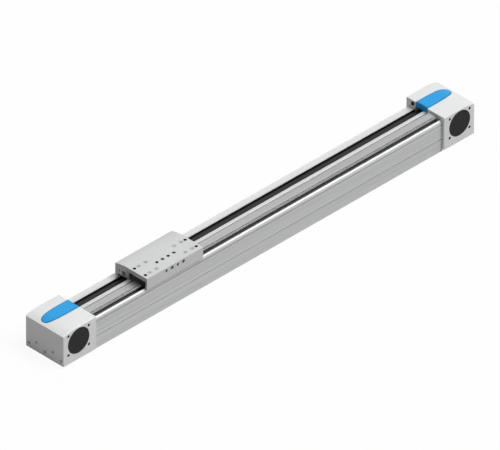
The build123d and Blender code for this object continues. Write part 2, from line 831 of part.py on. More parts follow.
def slide_plate():
    """Slide with its mounting holes, centring recesses and screw seats."""
    half = slide_length / 2
    x0 = slide_centre_x
    plate = section_along_x(slide_section(), x0 - half, x0 + half)
    hole_floor = slide_top - slide_hole_depth
    top = slide_top + overcut
    for y in hole_rows():
        for x in (-slide_corner_hole_x, slide_corner_hole_x):
            plate -= rod_upright(x0 + x, y, hole_floor, top, slide_hole_diameter)
        for x in carriage_screw_places():
            drill = carriage_screw_diameter + 2 * screw_clearance
            head = carriage_screw_head_diameter + 2 * screw_clearance
            seat = slide_top - carriage_screw_head_height
            plate -= rod_upright(x0 + x, y, slide_plate_bottom - overcut, top, drill)
            plate -= rod_upright(x0 + x, y, seat, top, head)
    side_z = slide_top - side_hole_drop
    for index in range(4):
        x = x0 + (index - 1.5) * middle_hole_pitch
        plain = index % 2 == 0
        diameter = slide_hole_diameter if plain else centring_diameter
        depth = slide_hole_depth if plain else centring_depth
        side_depth = side_hole_depth if plain else centring_depth
        side_diameter = side_hole_diameter if plain else centring_diameter
        plate -= rod_upright(x, guide_y, slide_top - depth, top, diameter)
        plate -= rod_along_y(x, slide_front_y - overcut, slide_front_y + side_depth, side_z, side_diameter)
    for end in (-1, 1):
        face = x0 + end * half
        for y, z, diameter, depth in slide_end_holes():
            inside = face - end * depth
            outside = face + end * overcut
            plate -= rod_along_x(min(inside, outside), max(inside, outside), y, z, diameter)
    return plate


def slide_end_holes():
    """Place, size and depth of the two holes in each end face of the slide."""
    tension_y = belt_y
    tension_z = slide_top - tension_hole_drop
    index_y = belt_y + index_hole_offset
    index_z = slide_top - index_hole_drop
    return (
        (tension_y, tension_z, tension_hole_diameter, tension_hole_depth),
        (index_y, index_z, index_hole_diameter, index_hole_depth),
    )


def carriage_section(inset, rail_gap):
    """Section of a carriage: a flange above the walls and legs round the rail."""
    flange = carriage_flange_width / 2 - inset
    leg = carriage_leg_width / 2 - inset
    bottom = rail_floor_height + carriage_leg_bottom_gap + inset
    shoulder = front_wall_height + slide_wall_gap + inset
    top = slide_plate_bottom - inset
    points = [(leg, bottom), (leg, shoulder), (flange, shoulder), (flange, top)]
    points += [(-y, z) for y, z in reversed(points)]
    body = make_face(Polyline(*[(guide_y + y, z) for y, z in points], close=True))
    room = offset(rail_section(), amount=rail_gap, kind=Kind.INTERSECTION)
    strip_room = rail_strip_thickness + rail_gap
    room += Pos(guide_y, rail_top + strip_room / 2) * Rectangle(rail_width, strip_room)
    return body - room


def carriage(centre_x):
    """Steel carriage that holds the rail from above and from both sides."""
    half = carriage_body_length / 2
    x = slide_centre_x + centre_x
    body = section_along_x(carriage_section(0, carriage_rail_gap), x - half, x + half)
    step = carriage_screw_spacing / 2
    drill = carriage_screw_diameter + 2 * screw_clearance
    floor = slide_plate_bottom - carriage_screw_grip - overcut
    for y in hole_rows():
        for screw_x in (x - step, x + step):
            body -= rod_upright(screw_x, y, floor, slide_plate_bottom + overcut, drill)
    return body


def carriage_plates(centre_x, start, thickness, inset, rail_gap):
    """Pair of plates with the carriage's section, one beyond each end of its body."""
    section = carriage_section(inset, rail_gap)
    x = slide_centre_x + centre_x
    near = section_along_x(section, x - start - thickness, x - start)
    far = section_along_x(section, x + start, x + start + thickness)
    return [near, far]


def carriage_end_caps():
    """Plastic caps that turn the balls round at the ends of both carriages."""
    start = carriage_body_length / 2
    size = (start, carriage_cap_length, carriage_cap_inset, carriage_rail_gap)
    return carriage_plates(-carriage_centre_x, *size) + carriage_plates(carriage_centre_x, *size)


def carriage_seals():
    """Thin wiper seals outside the end caps."""
    start = carriage_body_length / 2 + carriage_cap_length
    size = (start, carriage_seal_thickness, 2 * carriage_cap_inset, carriage_rail_gap)
    return carriage_plates(-carriage_centre_x, *size) + carriage_plates(carriage_centre_x, *size)


def carriage_screws():
    """Screws that hold the slide on its carriages."""
    seat = slide_top - carriage_screw_head_height
    length = seat - slide_plate_bottom + carriage_screw_grip
    head_height = carriage_screw_head_height - carriage_screw_recess
    size = (carriage_screw_diameter, carriage_screw_head_diameter, head_height, length)
    screws = []
    for y in hole_rows():
        for x in carriage_screw_places():
            screws.append(socket_screw(slide_centre_x + x, y, seat, *size))
    return screws


def clamp_places():
    """Middles of both belt clamps along the beam."""
    return (slide_centre_x - clamp_offset_x, slide_centre_x + clamp_offset_x)


def clamp_screw_spots():
    """Place of each clamp screw along and across the beam."""
    y = belt_trough_back_y - clamp_wall_gap - clamp_web_thickness / 2
    step = clamp_screw_spacing / 2
    return [(x + move, y) for x in clamp_places() for move in (-step, step)]


def belt_clamp_blocks():
    """Blocks under the slide that lie over the belt, one at each belt end."""
    blocks = []
    drill = clamp_screw_diameter + 2 * screw_clearance
    y1 = ridge_back_y + clamp_wall_gap
    y2 = belt_trough_back_y - clamp_wall_gap
    bottom = belt_top + clamp_belt_gap
    drill_top = slide_block_bottom - clamp_screw_tip_gap + clamp_screw_recess
    for x in clamp_places():
        part = block(x - clamp_length / 2, x + clamp_length / 2, y1, y2, bottom, slide_block_bottom)
        for screw_x, screw_y in clamp_screw_spots():
            part -= rod_upright(screw_x, screw_y, bottom - overcut, drill_top, drill)
        blocks.append(part)
    return blocks


def belt_clamp_jaws():
    """Jaws that reach round the back edge of the belt and under its teeth."""
    jaws = []
    drill = clamp_screw_diameter + 2 * screw_clearance
    y1 = ridge_back_y + clamp_wall_gap
    y2 = belt_trough_back_y - clamp_wall_gap
    web = y2 - clamp_web_thickness
    top = belt_teeth_bottom - clamp_belt_gap
    seat = belt_top + clamp_belt_gap
    for x in clamp_places():
        x1 = x - clamp_length / 2
        x2 = x + clamp_length / 2
        jaw = block(x1, x2, y1, y2, top - clamp_jaw_thickness, top)
        jaw += block(x1, x2, web, y2, top, seat)
        for screw_x, screw_y in clamp_screw_spots():
            jaw -= rod_upright(screw_x, screw_y, top - clamp_jaw_thickness - overcut, seat + overcut, drill)
        jaws.append(jaw)
    return jaws


def clamp_screws():
    """Headless screws that draw the jaws up against the blocks."""
    bottom = belt_teeth_bottom - clamp_belt_gap - clamp_jaw_thickness + clamp_screw_recess
    top = slide_block_bottom - clamp_screw_tip_gap
    return [rod_upright(x, y, bottom, top, clamp_screw_diameter) for x, y in clamp_screw_spots()]


def tension_screws():
    """Screws deep in the slide's ends that tighten the belt."""
    screws = []
    diameter = tension_hole_diameter - 2 * tension_screw_gap
    y, z = slide_end_holes()[0][:2]
    for end in (-1, 1):
        inner = slide_centre_x + end * (slide_length / 2 - tension_hole_depth)
        outer = inner + end * tension_screw_length
        screw = rod_along_x(min(inner, outer), max(inner, outer), y, z, diameter)
        socket = extrude(RegularPolygon(diameter * socket_share / 2, 6), amount=tension_screw_length / 2)
        screw -= Pos(outer, y, z) * Rot(Y=-90 * end) * socket
        screws.append(screw)
    return screws


def both_sides(make, place):
    """Front and back copy of a piece, moved to one end of the beam."""
    return [place(make(-1)), place(make(1))]


def save(name, piece):
    """Write one node as a STEP file."""
    shape = Compound(children=list(piece)) if isinstance(piece, list) else piece
    shape.label = name
    export_step(shape, "parts/" + name + ".step")


def save_end(name, place, length):
    """Write the pieces of one end of the beam."""
    save(name + "_cover", place(end_cover(length)))
    save(name + "_cap", place(cover_cap(length)))
    save(name + "_disc_front", place(side_disc(-1)))
    save(name + "_disc_back", place(side_disc(1)))
    save(name + "_bearing_outer_rings", both_sides(bearing_outer_ring, place))
    save(name + "_bearing_inner_rings", both_sides(bearing_inner_ring, place))
    save(name + "_circlips", both_sides(circlip, place))
    save(name + "_pulley", place(pulley_wheel()))
    save(name + "_pulley_flanges", [place(flange) for flange in pulley_flanges()])
    save(name + "_stop", place(stop_buffer(length)))
    save(name + "_cover_studs", [place(stud) for stud in cover_studs(length)])


def main():
    """Build every piece and write its file."""
    os.makedirs("parts", exist_ok=True)
    save("profile", profile())
    save("guide_rail", guide_rail())
    save("rail_screws", rail_screws())
    save("rail_cover_strip", rail_cover_strip())
    save("toothed_belt", toothed_belt())
    save_end("near", at_near_end, near_cover_length)
    save_end("far", at_far_end, far_cover_length)
    save("slide_plate", slide_plate())
    save("near_carriage", carriage(-carriage_centre_x))
    save("far_carriage", carriage(carriage_centre_x))
    save("carriage_end_caps", carriage_end_caps())
    save("carriage_seals", carriage_seals())
    save("carriage_screws", carriage_screws())
    save("belt_clamp_blocks", belt_clamp_blocks())
    save("belt_clamp_jaws", belt_clamp_jaws())
    save("clamp_screws", clamp_screws())
    save("tension_screws", tension_screws())


main()
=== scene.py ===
"""Looks of a toothed belt linear axis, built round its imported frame, in metres."""
import logging
import math
from abc import ABC, abstractmethod
from collections.abc import Iterable, Sequence
from dataclasses import dataclass, field
from enum import Enum
from functools import reduce
from typing import ClassVar

import bmesh
import bpy
from mathutils import Matrix, Vector


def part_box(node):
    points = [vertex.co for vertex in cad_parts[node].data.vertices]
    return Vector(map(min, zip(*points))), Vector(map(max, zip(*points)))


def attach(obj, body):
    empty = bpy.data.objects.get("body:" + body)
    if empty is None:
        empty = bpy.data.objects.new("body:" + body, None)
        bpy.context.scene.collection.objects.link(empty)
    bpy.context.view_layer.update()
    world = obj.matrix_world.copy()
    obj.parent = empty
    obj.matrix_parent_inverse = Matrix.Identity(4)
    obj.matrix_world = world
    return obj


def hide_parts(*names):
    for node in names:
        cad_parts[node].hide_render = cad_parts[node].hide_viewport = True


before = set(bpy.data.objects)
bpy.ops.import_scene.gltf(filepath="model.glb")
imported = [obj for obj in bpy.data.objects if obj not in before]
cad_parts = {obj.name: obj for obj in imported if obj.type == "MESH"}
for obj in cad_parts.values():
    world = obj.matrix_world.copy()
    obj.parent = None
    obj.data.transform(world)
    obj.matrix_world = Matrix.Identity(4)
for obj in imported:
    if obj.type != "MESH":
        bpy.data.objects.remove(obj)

log = logging.getLogger("linear_axis")

Colour = tuple[float, float, float]
Scale = tuple[float, float, float]
Limits = tuple[float | None, float | None]

MM = 0.001
# Name of the mesh attribute with the share of painted shade along the blue cap's rim.
RIM_SHADE = "rim"
UP = (0, 0, 1)

# Phase of a Wave texture in radians for each unit of its coordinates.
WAVE_RATE = 20
# Sockets of a Mix node that mixes colours.
MIX_SHARE, MIX_FIRST, MIX_SECOND, MIX_RESULT = 0, 6, 7, 2
# Half the width across a hexagon's corners for half its width across flats, and a little more.
HEXAGON_CORNER = 1.16
# Radius of a ring that stands for the pole of a round piece.
POLE_RADIUS = 0.001 * MM


class Body(Enum):
    """Rigid bodies of the frame that a piece can ride on."""

    BASE = "base"
    SLIDE = "slide"


class End(Enum):
    """Ends of the beam, with the direction in which each looks along X."""

    NEAR = -1
    FAR = 1

    @property
    def word(self) -> str:
        """Word that the names of this end's nodes start with."""
        return self.name.lower()

    def outermost(self, low: Vector, high: Vector) -> float:
        """X of the outer face of a box at this end."""
        return low.x if self is End.NEAR else high.x


class Side(Enum):
    """Long sides of the axis, with the direction in which each looks along Y."""

    FRONT = -1
    BACK = 1

    @property
    def word(self) -> str:
        """Word that the names of this side's nodes end with."""
        return self.name.lower()

    def outermost(self, low: Vector, high: Vector) -> float:
        """Y of the outer face of a box on this side."""
        return low.y if self is Side.FRONT else high.y


@dataclass(frozen=True)
class Number:
    """Socket of a node that is used like a number in shader maths."""

    tree: "ShaderTree"
    socket: bpy.types.NodeSocket

    def maths(self, operation: str, first: "Number | float", second: "Number | float") -> "Number":
        """Adds a Math node.

        Args:
            operation: Name of the Math node's operation.
            first: Its first value.
            second: Its second value.

        Returns:
            The result as a number.
        """
        made = self.tree.node("ShaderNodeMath", {"operation": operation}, {0: first, 1: second})
        return Number(self.tree, made.outputs[0])

    def __add__(self, other: "Number | float") -> "Number":
        """Sum."""
        return self.maths("ADD", self, other)

    def __sub__(self, other: "Number | float") -> "Number":
        """Difference."""
        return self.maths("SUBTRACT", self, other)

    def __rsub__(self, other: "Number | float") -> "Number":
        """Difference from a plain number."""
        return self.maths("SUBTRACT", other, self)

    def __mul__(self, other: "Number | float") -> "Number":
        """Product."""
        return self.maths("MULTIPLY", self, other)

    def __truediv__(self, other: "Number | float") -> "Number":
        """Quotient."""
        return self.maths("DIVIDE", self, other)

    def at_least(self, other: "Number | float") -> "Number":
        """Larger of the two."""
        return self.maths("MAXIMUM", self, other)

    def at_most(self, other: "Number | float") -> "Number":
        """Smaller of the two."""
        return self.maths("MINIMUM", self, other)


class ShaderTree:
    """Node tree of a material or of the world."""

    def __init__(self, tree: bpy.types.NodeTree) -> None:
        """Empties the tree, ready for new nodes."""
        self.tree = tree
        tree.nodes.clear()

    def node(
        self,
        kind: str,
        settings: dict[str, object] | None = None,
        inputs: dict[str | int, object] | None = None,
    ) -> bpy.types.Node:
        """Adds one node.

        Args:
            kind: Type of the node.
            settings: Its own settings, set first.
            inputs: Values or links of its sockets, by name or by place.

        Returns:
            The new node.
        """
        made = self.tree.nodes.new(kind)
        for name, value in (settings or {}).items():
            setattr(made, name, value)
        for name, value in (inputs or {}).items():
            socket = made.inputs[name]
            if isinstance(value, Number):
                self.tree.links.new(value.socket, socket)
            elif isinstance(value, bpy.types.NodeSocket):
                self.tree.links.new(value, socket)
            else:
                socket.default_value = value
        return made

    def number(self, made: bpy.types.Node, output: str | int = 0) -> Number:
        """Output of a node as a number."""
        return Number(self, made.outputs[output])

    def place(self, scale: Sequence[float] = (1, 1, 1)) -> bpy.types.NodeSocket:
        """Object coordinates, stretched for a pattern.

        Args:
            scale: How many units of the pattern there are in a metre along X, Y and Z.

        Returns:
            The socket of the coordinates.
        """
        inputs = {"Vector": self.node("ShaderNodeTexCoord").outputs["Object"], "Scale": scale}
        return self.node("ShaderNodeMapping", inputs=inputs).outputs["Vector"]

    def mix_colour(
        self,
        share: Number,
        first: Colour | bpy.types.NodeSocket,
        second: Colour | bpy.types.NodeSocket,
    ) -> bpy.types.NodeSocket:
        """Colour between two colours.

        Args:
            share: 0 for the first colour and 1 for the second.
            first: The first colour, plain or as a socket.
            second: The second colour, plain or as a socket.

        Returns:
            The socket of the mixed colour.
        """
        inputs = {MIX_SHARE: share}
        for place, end in ((MIX_FIRST, first), (MIX_SECOND, second)):
            inputs[place] = (*end, 1) if isinstance(end, tuple) else end
        return self.node("ShaderNodeMix", {"data_type": "RGBA"}, inputs).outputs[MIX_RESULT]


def blend(numbers: Iterable[Number], shares: Iterable[float]) -> Number:
    """Sum of numbers, each times its share, without those whose share is 0."""
    parts = [number * share for number, share in zip(numbers, shares) if share]
    return reduce(Number.__add__, parts)


def wave_scale(pitch: float) -> float:
    """Scale at which the lines of a Wave texture are a pitch apart."""
    return 2 * math.pi / (WAVE_RATE * pitch)


@dataclass(frozen=True)
class Noise:
    """Soft noise between 0 and 1.

    The scale is the number of grains in a metre along X, Y and Z. The detail is the number of
    finer octaves, and the roughness their strength.
    """

    scale: Scale
    detail: float = 2
    roughness: float = 0.5

    def number(self, tree: ShaderTree) -> Number:
        """The noise as a number.

        Args:
            tree: Tree that the nodes go into.

        Returns:
            The number.
        """
        inputs = {"Scale": 1.0, "Detail": self.detail, "Roughness": self.roughness}
        inputs["Vector"] = tree.place(self.scale)
        return tree.number(tree.node("ShaderNodeTexNoise", inputs=inputs), "Fac")


@dataclass(frozen=True)
class Lines:
    """Even lines between 0 and 1, across the direction with the largest scale.

    The wobble is how much the lines wander.
    """

    scale: Scale
    wobble: float

    def number(self, tree: ShaderTree) -> Number:
        """The lines as a number.

        Args:
            tree: Tree that the nodes go into.

        Returns:
            The number.
        """
        settings = {"wave_type": "BANDS", "bands_direction": "DIAGONAL", "wave_profile": "SIN"}
        inputs = {"Scale": 1.0, "Distortion": self.wobble, "Detail": 1.0}
        inputs["Vector"] = tree.place(self.scale)
        return tree.number(tree.node("ShaderNodeTexWave", settings, inputs), "Fac")


@dataclass(frozen=True)
class Pits:
    """Rounded pits like those of an etched mould, by their number in a metre."""

    scale: Scale
    softness: float

    def number(self, tree: ShaderTree) -> Number:
        """The pits as a number.

        Args:
            tree: Tree that the nodes go into.

        Returns:
            The number.
        """
        inputs = {"Scale": 1.0, "Smoothness": self.softness, "Vector": tree.place(self.scale)}
        made = tree.node("ShaderNodeTexVoronoi", {"feature": "SMOOTH_F1"}, inputs)
        return tree.number(made, "Distance")


@dataclass(frozen=True)
class Structure:
    """Fine structure of a surface: its layers, and their shares in its tint, gloss and height.

    The shares in the height are in metres.
    """

    layers: tuple[Noise | Lines | Pits, ...]
    tint: tuple[float, ...]
    gloss: tuple[float, ...]
    height: tuple[float, ...]

    def patterns(self, tree: ShaderTree) -> list[Number]:
        """Numbers that change over the surface.

        Args:
            tree: Tree that the nodes go into.

        Returns:
            Tint and gloss from 0 to 1, and height in metres.
        """
        numbers = [layer.number(tree) for layer in self.layers]
        return [blend(numbers, shares) for shares in (self.tint, self.gloss, self.height)]


@dataclass(frozen=True)
class Zone:
    """Part of a surface that takes a painted tone, between limits along X, Y and Z. Here the tones
    are mostly painted shade and highlights.

    A limit of None is no limit.
    """

    colour: Colour
    fade: float
    strength: float = 1.0
    x: Limits = (None, None)
    y: Limits = (None, None)
    z: Limits = (None, None)

    def share(self, tree: ShaderTree) -> Number:
        """How much of the zone's colour a place takes.

        Args:
            tree: Tree that the nodes go into.

        Returns:
            0 outside the zone, and its strength where it is a fade deep or more.
        """
        place = tree.node("ShaderNodeSeparateXYZ", inputs={"Vector": tree.place()})
        depths = []
        for axis, (low, high) in (("X", self.x), ("Y", self.y), ("Z", self.z)):
            if low is not None:
                depths.append(tree.number(place, axis) - low)
            if high is not None:
                depths.append(high - tree.number(place, axis))
        depth = reduce(Number.at_most, depths) / self.fade
        return depth.at_least(0.0).at_most(1.0) * self.strength


@dataclass(frozen=True)
class RimShadeZone:
    """Painted shade along a rim, where the mesh's own rim shade value is high."""

    colour: Colour

    def share(self, tree: ShaderTree) -> Number:
        """How much of the painted rim shade a place takes, from 0 to 1."""
        return tree.number(tree.node("ShaderNodeAttribute", {"attribute_name": RIM_SHADE}), "Fac")


@dataclass(frozen=True)
class Finish:
    """Finish of one kind of surface, drawn on the piece's own coordinates."""

    name: str
    slot: str
    structure: Structure
    colour: Colour
    roughness: float
    metallic: float = 0.0
    tint_range: float = 0.08
    gloss_range: float = 0.12
    specular: float = 0.5
    zones: tuple[Zone | RimShadeZone, ...] = ()

    def colour_socket(self, tree: ShaderTree, tint: Number) -> bpy.types.NodeSocket:
        """Colour between a darker and a lighter tint, with the colours of the zones.

        Args:
            tree: Tree that the nodes go into.
            tint: 0 for the darker tint and 1 for the lighter one.

        Returns:
            The socket of the colour.
        """
        dark = tuple(part * (1 - self.tint_range) for part in self.colour)
        light = tuple(min(part * (1 + self.tint_range), 1.0) for part in self.colour)
        colour = tree.mix_colour(tint, dark, light)
        for zone in self.zones:
            colour = tree.mix_colour(zone.share(tree), colour, zone.colour)
        return colour

    def material(self) -> bpy.types.Material:
        """Material with this finish, made at its first use.

        Returns:
            The material.
        """
        name = self.name + "_finish"
        known = bpy.data.materials.get(name)
        if known:
            return known
        made = bpy.data.materials.new(name)
        made.use_nodes = True
        tree = ShaderTree(made.node_tree)
        tint, gloss, height = self.structure.patterns(tree)
        glossiest = self.roughness - self.gloss_range / 2
        relief = {"Height": height, "Strength": 1.0, "Distance": 1.0}
        shader = tree.node(
            "ShaderNodeBsdfPrincipled",
            inputs={
                "Base Color": self.colour_socket(tree, tint),
                "Roughness": gloss * self.gloss_range + glossiest,
                "Metallic": self.metallic,
                "Specular IOR Level": self.specular,
                "Normal": tree.node("ShaderNodeBump", inputs=relief).outputs["Normal"],
            },
        )
        tree.node("ShaderNodeOutputMaterial", inputs={"Surface": shader.outputs[0]})
        return made


# Extruded and anodised aluminium: long thin die lines along X over a faint satin grain.
DRAWN = Structure(
    layers=(Noise((1.5, 225, 225)), Noise((5, 900, 900), 3, 0.6), Noise((2600, 2600, 2600), 1)),
    tint=(0.55, 0.45, 0),
    gloss=(0, 0.6, 0.4),
    height=(0, 0.006 * MM, 0.004 * MM),
)
# Aluminium blasted with fine beads and anodised: even craters with soft cloudy patches.
BLASTED = Structure(
    layers=(Noise((2400, 2400, 2400), 3, 0.65), Noise((16, 16, 16), 3)),
    tint=(0.4, 0.6),
    gloss=(1, 0),
    height=(0.012 * MM, 0),
)
# Aluminium with the marks of a face mill: close lines across X that wander, over a fine grain.
MILLED = Structure(
    layers=(
        Lines((wave_scale(0.6 * MM), 12, 12), 1.5),
        Noise((2200, 2200, 2200)),
        Noise((20, 30, 30)),
    ),
    tint=(0.2, 0.3, 0.5),
    gloss=(0.3, 0.7, 0),
    height=(0.002 * MM, 0.006 * MM, 0),
)
# Steel ground along X: faint streaks, then long and short grinding marks.
GROUND = Structure(
    layers=(Noise((3, 420, 420)), Noise((12, 1800, 1800), 3, 0.7), Noise((70, 4200, 4200))),
    tint=(0.6, 0.24, 0.16),
    gloss=(0, 0, 1),
    height=(0, 0.0012 * MM, 0.0008 * MM),
)
# Plastic from an etched mould: rounded pits, and soft patches along the flow.
MOULDED = Structure(
    layers=(Pits((1500, 1500, 1500), 0.6), Noise((30, 12, 12))),
    tint=(0, 1),
    gloss=(1, 0),
    height=(0.01 * MM, 0),
)
# Back of a toothed belt: cords along X, crossed by fainter marks of the wrap, under dust.
WRAPPED = Structure(
    layers=(
        Lines((0, wave_scale(0.9 * MM), 0), 0.3),
        Lines((wave_scale(1.8 * MM), 0, 0), 0.6),
        Noise((300, 900, 900), 3),
    ),
    tint=(0.25, 0.15, 0.6),
    gloss=(0, 0, 1),
    height=(0.02 * MM, 0.02 * MM / 3, 0),
)

# Near-black tone painted where shade falls: in troughs, at inner edges, along seams and grooves.
PAINTED_SHADE: Colour = (0.02, 0.02, 0.021)
# Near-white tone painted as a highlight on the lip above the beam's lower front line.
LIP_HIGHLIGHT: Colour = (0.95, 0.953, 0.956)
# Light tone painted onto the slide's front as painted light.
SLIDE_FRONT_LIGHT: Colour = (0.9, 0.903, 0.906)
# Dark tone painted onto the slide's ends as painted shade.
SLIDE_END_SHADE: Colour = (0.2, 0.2, 0.203)
# Dark tone painted as shade along the seam where the cover strip sits on the rail.
SEAM_SHADE: Colour = (0.05, 0.05, 0.051)
# Dark blue painted as shade on the blue cap's rim.
RIM_SHADE_BLUE: Colour = (0.007, 0.13, 0.26)

# Limits along Y that take in the beam's front face.
FRONT_FACE: Limits = (-45 * MM, -30 * MM)
# Painted shade on the beam: deep in both troughs, at their inner edges and along the two lines in
# front; the ridge's top a little darker towards its middle; and a painted highlight on the lip
# above the lower line.
BEAM_ZONES = (
    Zone(PAINTED_SHADE, 0.8 * MM, y=(2.2 * MM, 25 * MM), z=(0.0, 49.6 * MM)),  # belt trough
    Zone(PAINTED_SHADE, 2 * MM, y=(-32.4 * MM, -17 * MM), z=(0.0, 52.5 * MM)),  # rail trough
    Zone(PAINTED_SHADE, 0.3 * MM, y=(-32.6 * MM, -30 * MM), z=(0.0, 60 * MM)),  # front wall's edge
    Zone(PAINTED_SHADE, 0.3 * MM, y=(2.8 * MM, 4.5 * MM), z=(0.0, 60 * MM)),  # ridge's back edge
    Zone(PAINTED_SHADE, 24 * MM, y=(-2.4 * MM, 3.8 * MM), z=(0.0, 61 * MM)),  # ridge's top
    Zone(PAINTED_SHADE, 8 * MM, y=FRONT_FACE, z=(46.9 * MM, 49.5 * MM)),  # upper line in front
    Zone(PAINTED_SHADE, 8 * MM, y=FRONT_FACE, z=(20.2 * MM, 22.8 * MM)),  # lower line in front
    Zone(LIP_HIGHLIGHT, 3.2 * MM, y=FRONT_FACE, z=(23 * MM, 27.4 * MM)),  # bright lip above it
)
# Painted shade along the rail's top edges where the cover strip sits, and on the rail's front
# flank down in the trough.
RAIL_ZONES = (
    Zone(SEAM_SHADE, 0.1 * MM, z=(58.8 * MM, None)),
    Zone(PAINTED_SHADE, 0.8 * MM, y=(-36 * MM, -17 * MM), z=(0.0, 55.2 * MM)),
)
# Painted shade along the cover strip's front edge.
STRIP_ZONES = (Zone(PAINTED_SHADE, 0.1 * MM, y=(None, -23.4 * MM)),)
# Painted light makes the slide's front brighter than its top, and painted shade makes both of its
# ends duller.
SLIDE_ZONES = (
    Zone(SLIDE_FRONT_LIGHT, 0.1 * MM, strength=0.5, y=(None, -37.85 * MM)),
    Zone(SLIDE_END_SHADE, 0.1 * MM, strength=0.36, x=(None, -261.1 * MM)),
    Zone(SLIDE_END_SHADE, 0.1 * MM, strength=0.36, x=(-141.8 * MM, None)),
)

BEAM_FINISH = Finish(
    "drawn_aluminium",
    "anodised_aluminium",
    DRAWN,
    (0.69, 0.694, 0.698),
    0.38,
    0.3,
    tint_range=0.3,
    zones=BEAM_ZONES,
)
COVER_FINISH = Finish(
    "blasted_aluminium", "cover_aluminium", BLASTED, (0.76, 0.764, 0.768), 0.5, 0.1
)
SLIDE_FINISH = Finish(
    "milled_aluminium",
    "slide_aluminium",
    MILLED,
    (0.61, 0.613, 0.616),
    0.42,
    0.55,
    zones=SLIDE_ZONES,
)
CLAMP_FINISH = Finish(
    "clamp_aluminium", "clamp_aluminium", MILLED, (0.5, 0.505, 0.51), 0.42, 0.5
)
RAIL_FINISH = Finish(
    "ground_steel", "ground_steel", GROUND, (0.72, 0.722, 0.726), 0.38, 0.3, zones=RAIL_ZONES
)
STRIP_FINISH = Finish(
    "strip_steel",
    "ground_steel",
    GROUND,
    (0.425, 0.427, 0.431),
    0.34,
    0.75,
    tint_range=0.45,
    zones=STRIP_ZONES,
)
CARRIAGE_FINISH = Finish(
    "carriage_steel", "carriage_steel", GROUND, (0.2, 0.205, 0.215), 0.35, 0.8
)
PULLEY_FINISH = Finish("turned_metal", "pulley_metal", GROUND, (0.42, 0.425, 0.435), 0.35, 0.85)
RING_FINISH = Finish("ring_steel", "bearing_steel", GROUND, (0.55, 0.555, 0.565), 0.2, 0.95)
CLIP_FINISH = Finish("spring_steel", "spring_steel", GROUND, (0.1, 0.1, 0.11), 0.4, 0.8)
SCREW_FINISH = Finish("plated_steel", "screw_steel", GROUND, (0.55, 0.555, 0.56), 0.34, 0.75)
# Near-black lining that paints the shade inside holes and round their mouths.
HOLE_SHADE_FINISH = Finish(
    "hole_shade_thread", "screw_steel", GROUND, (0.03, 0.03, 0.031), 0.5, 0.2, specular=0.2
)
SLEEVE_FINISH = Finish("black_steel", "screw_steel", GROUND, (0.17, 0.17, 0.174), 0.45, 0.4)
BLUE_FINISH = Finish(
    "blue_plastic",
    "blue_plastic",
    MOULDED,
    (0.008, 0.33, 0.73),
    0.45,
    tint_range=0.05,
    specular=0.3,
    zones=(RimShadeZone(RIM_SHADE_BLUE),),
)
DISC_FINISH = Finish(
    "dark_plastic", "dark_plastic", MOULDED, (0.022, 0.022, 0.0225), 0.6, specular=0.25
)
BLACK_FINISH = Finish(
    "black_plastic", "black_plastic", MOULDED, (0.014, 0.014, 0.0145), 0.5, specular=0.3
)
SEAL_FINISH = Finish(
    "seal_rubber", "seal_rubber", MOULDED, (0.016, 0.016, 0.0165), 0.6, specular=0.3
)
STOP_FINISH = Finish(
    "stop_rubber", "stop_rubber", MOULDED, (0.014, 0.014, 0.0145), 0.65, specular=0.3
)
BELT_FINISH = Finish(
    "belt_rubber",
    "belt_rubber",
    WRAPPED,
    (0.021, 0.021, 0.022),
    0.65,
    tint_range=0.2,
    specular=0.25,
)


def dress_node(node: str, finish: Finish) -> None:
    """Gives a CAD node its material.

    Args:
        node: Name of the node.
        finish: Its finish.
    """
    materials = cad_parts[node].data.materials
    materials.clear()
    materials.append(finish.material())
    log.info("dressed %s as %s", node, finish.name)


def add_piece(
    name: str, bm: bmesh.types.BMesh, finish: Finish, body: Body, sharp_angle: float = 35
) -> bpy.types.Object:
    """Turns a finished bmesh into a piece of the object.

    Args:
        name: Name of the piece.
        bm: Its mesh, in the frame's metres. It is freed here.
        finish: Its finish.
        body: Body that it rides on.
        sharp_angle: Angle in degrees from which an edge shows as a sharp one.

    Returns:
        The new object, riding on its body.
    """
    mesh = bpy.data.meshes.new(name)
    bm.to_mesh(mesh)
    bm.free()
    custom_normals = mesh.attributes.get("custom_normal")
    if custom_normals:
        mesh.attributes.remove(custom_normals)
    mesh.materials.append(finish.material())
    for polygon in mesh.polygons:
        polygon.material_index = 0
        polygon.use_smooth = True
    mesh.set_sharp_from_angle(angle=math.radians(sharp_angle))
    piece = bpy.data.objects.new(name, mesh)
    bpy.context.scene.collection.objects.link(piece)
    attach(piece, body.value)
    log.info("built %s with %d faces", name, len(mesh.polygons))
    return piece


def merged_copy(node: str, weld: float = 0.001 * MM, flat: float = 0.5) -> bmesh.types.BMesh:
    """Copy of a CAD node's mesh with its loose triangles joined to whole faces.

    Args:
        node: Name of the node.
        weld: Distance up to which corners become one.
        flat: Angle in degrees up to which two faces become one.

    Returns:
        The copy, which the caller passes on or frees.
    """
    bm = bmesh.new()
    bm.from_mesh(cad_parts[node].data)
    bmesh.ops.remove_doubles(bm, verts=bm.verts, dist=weld)
    bmesh.ops.dissolve_limit(
        bm,
        angle_limit=math.radians(flat),
        verts=bm.verts,
        edges=bm.edges,
        use_dissolve_boundaries=False,
    )
    return bm


def sink_hole(
    bm: bmesh.types.BMesh,
    mouth: Vector,
    direction: Vector,
    radius: float,
    width: float,
    play: float = 0.03 * MM,
) -> None:
    """Cuts a countersink into the mouth of a round hole.

    Args:
        bm: Mesh with the hole.
        mouth: Middle of the hole's mouth.
        direction: Direction in which the hole opens.
        radius: Radius of the hole.
        width: Width of the countersink.
        play: How far a point may lie off the mouth's circle.
    """

    def on_circle(vert: bmesh.types.BMVert) -> bool:
        """Whether a point of the mesh lies on the mouth's circle."""
        away = vert.co - mouth
        return abs(away.dot(direction)) < play and abs(away.length - radius) < play

    edges = [edge for edge in bm.edges if all(on_circle(vert) for vert in edge.verts)]
    bmesh.ops.bevel(bm, geom=edges, offset=width, segments=1, profile=0.5, affect="EDGES")


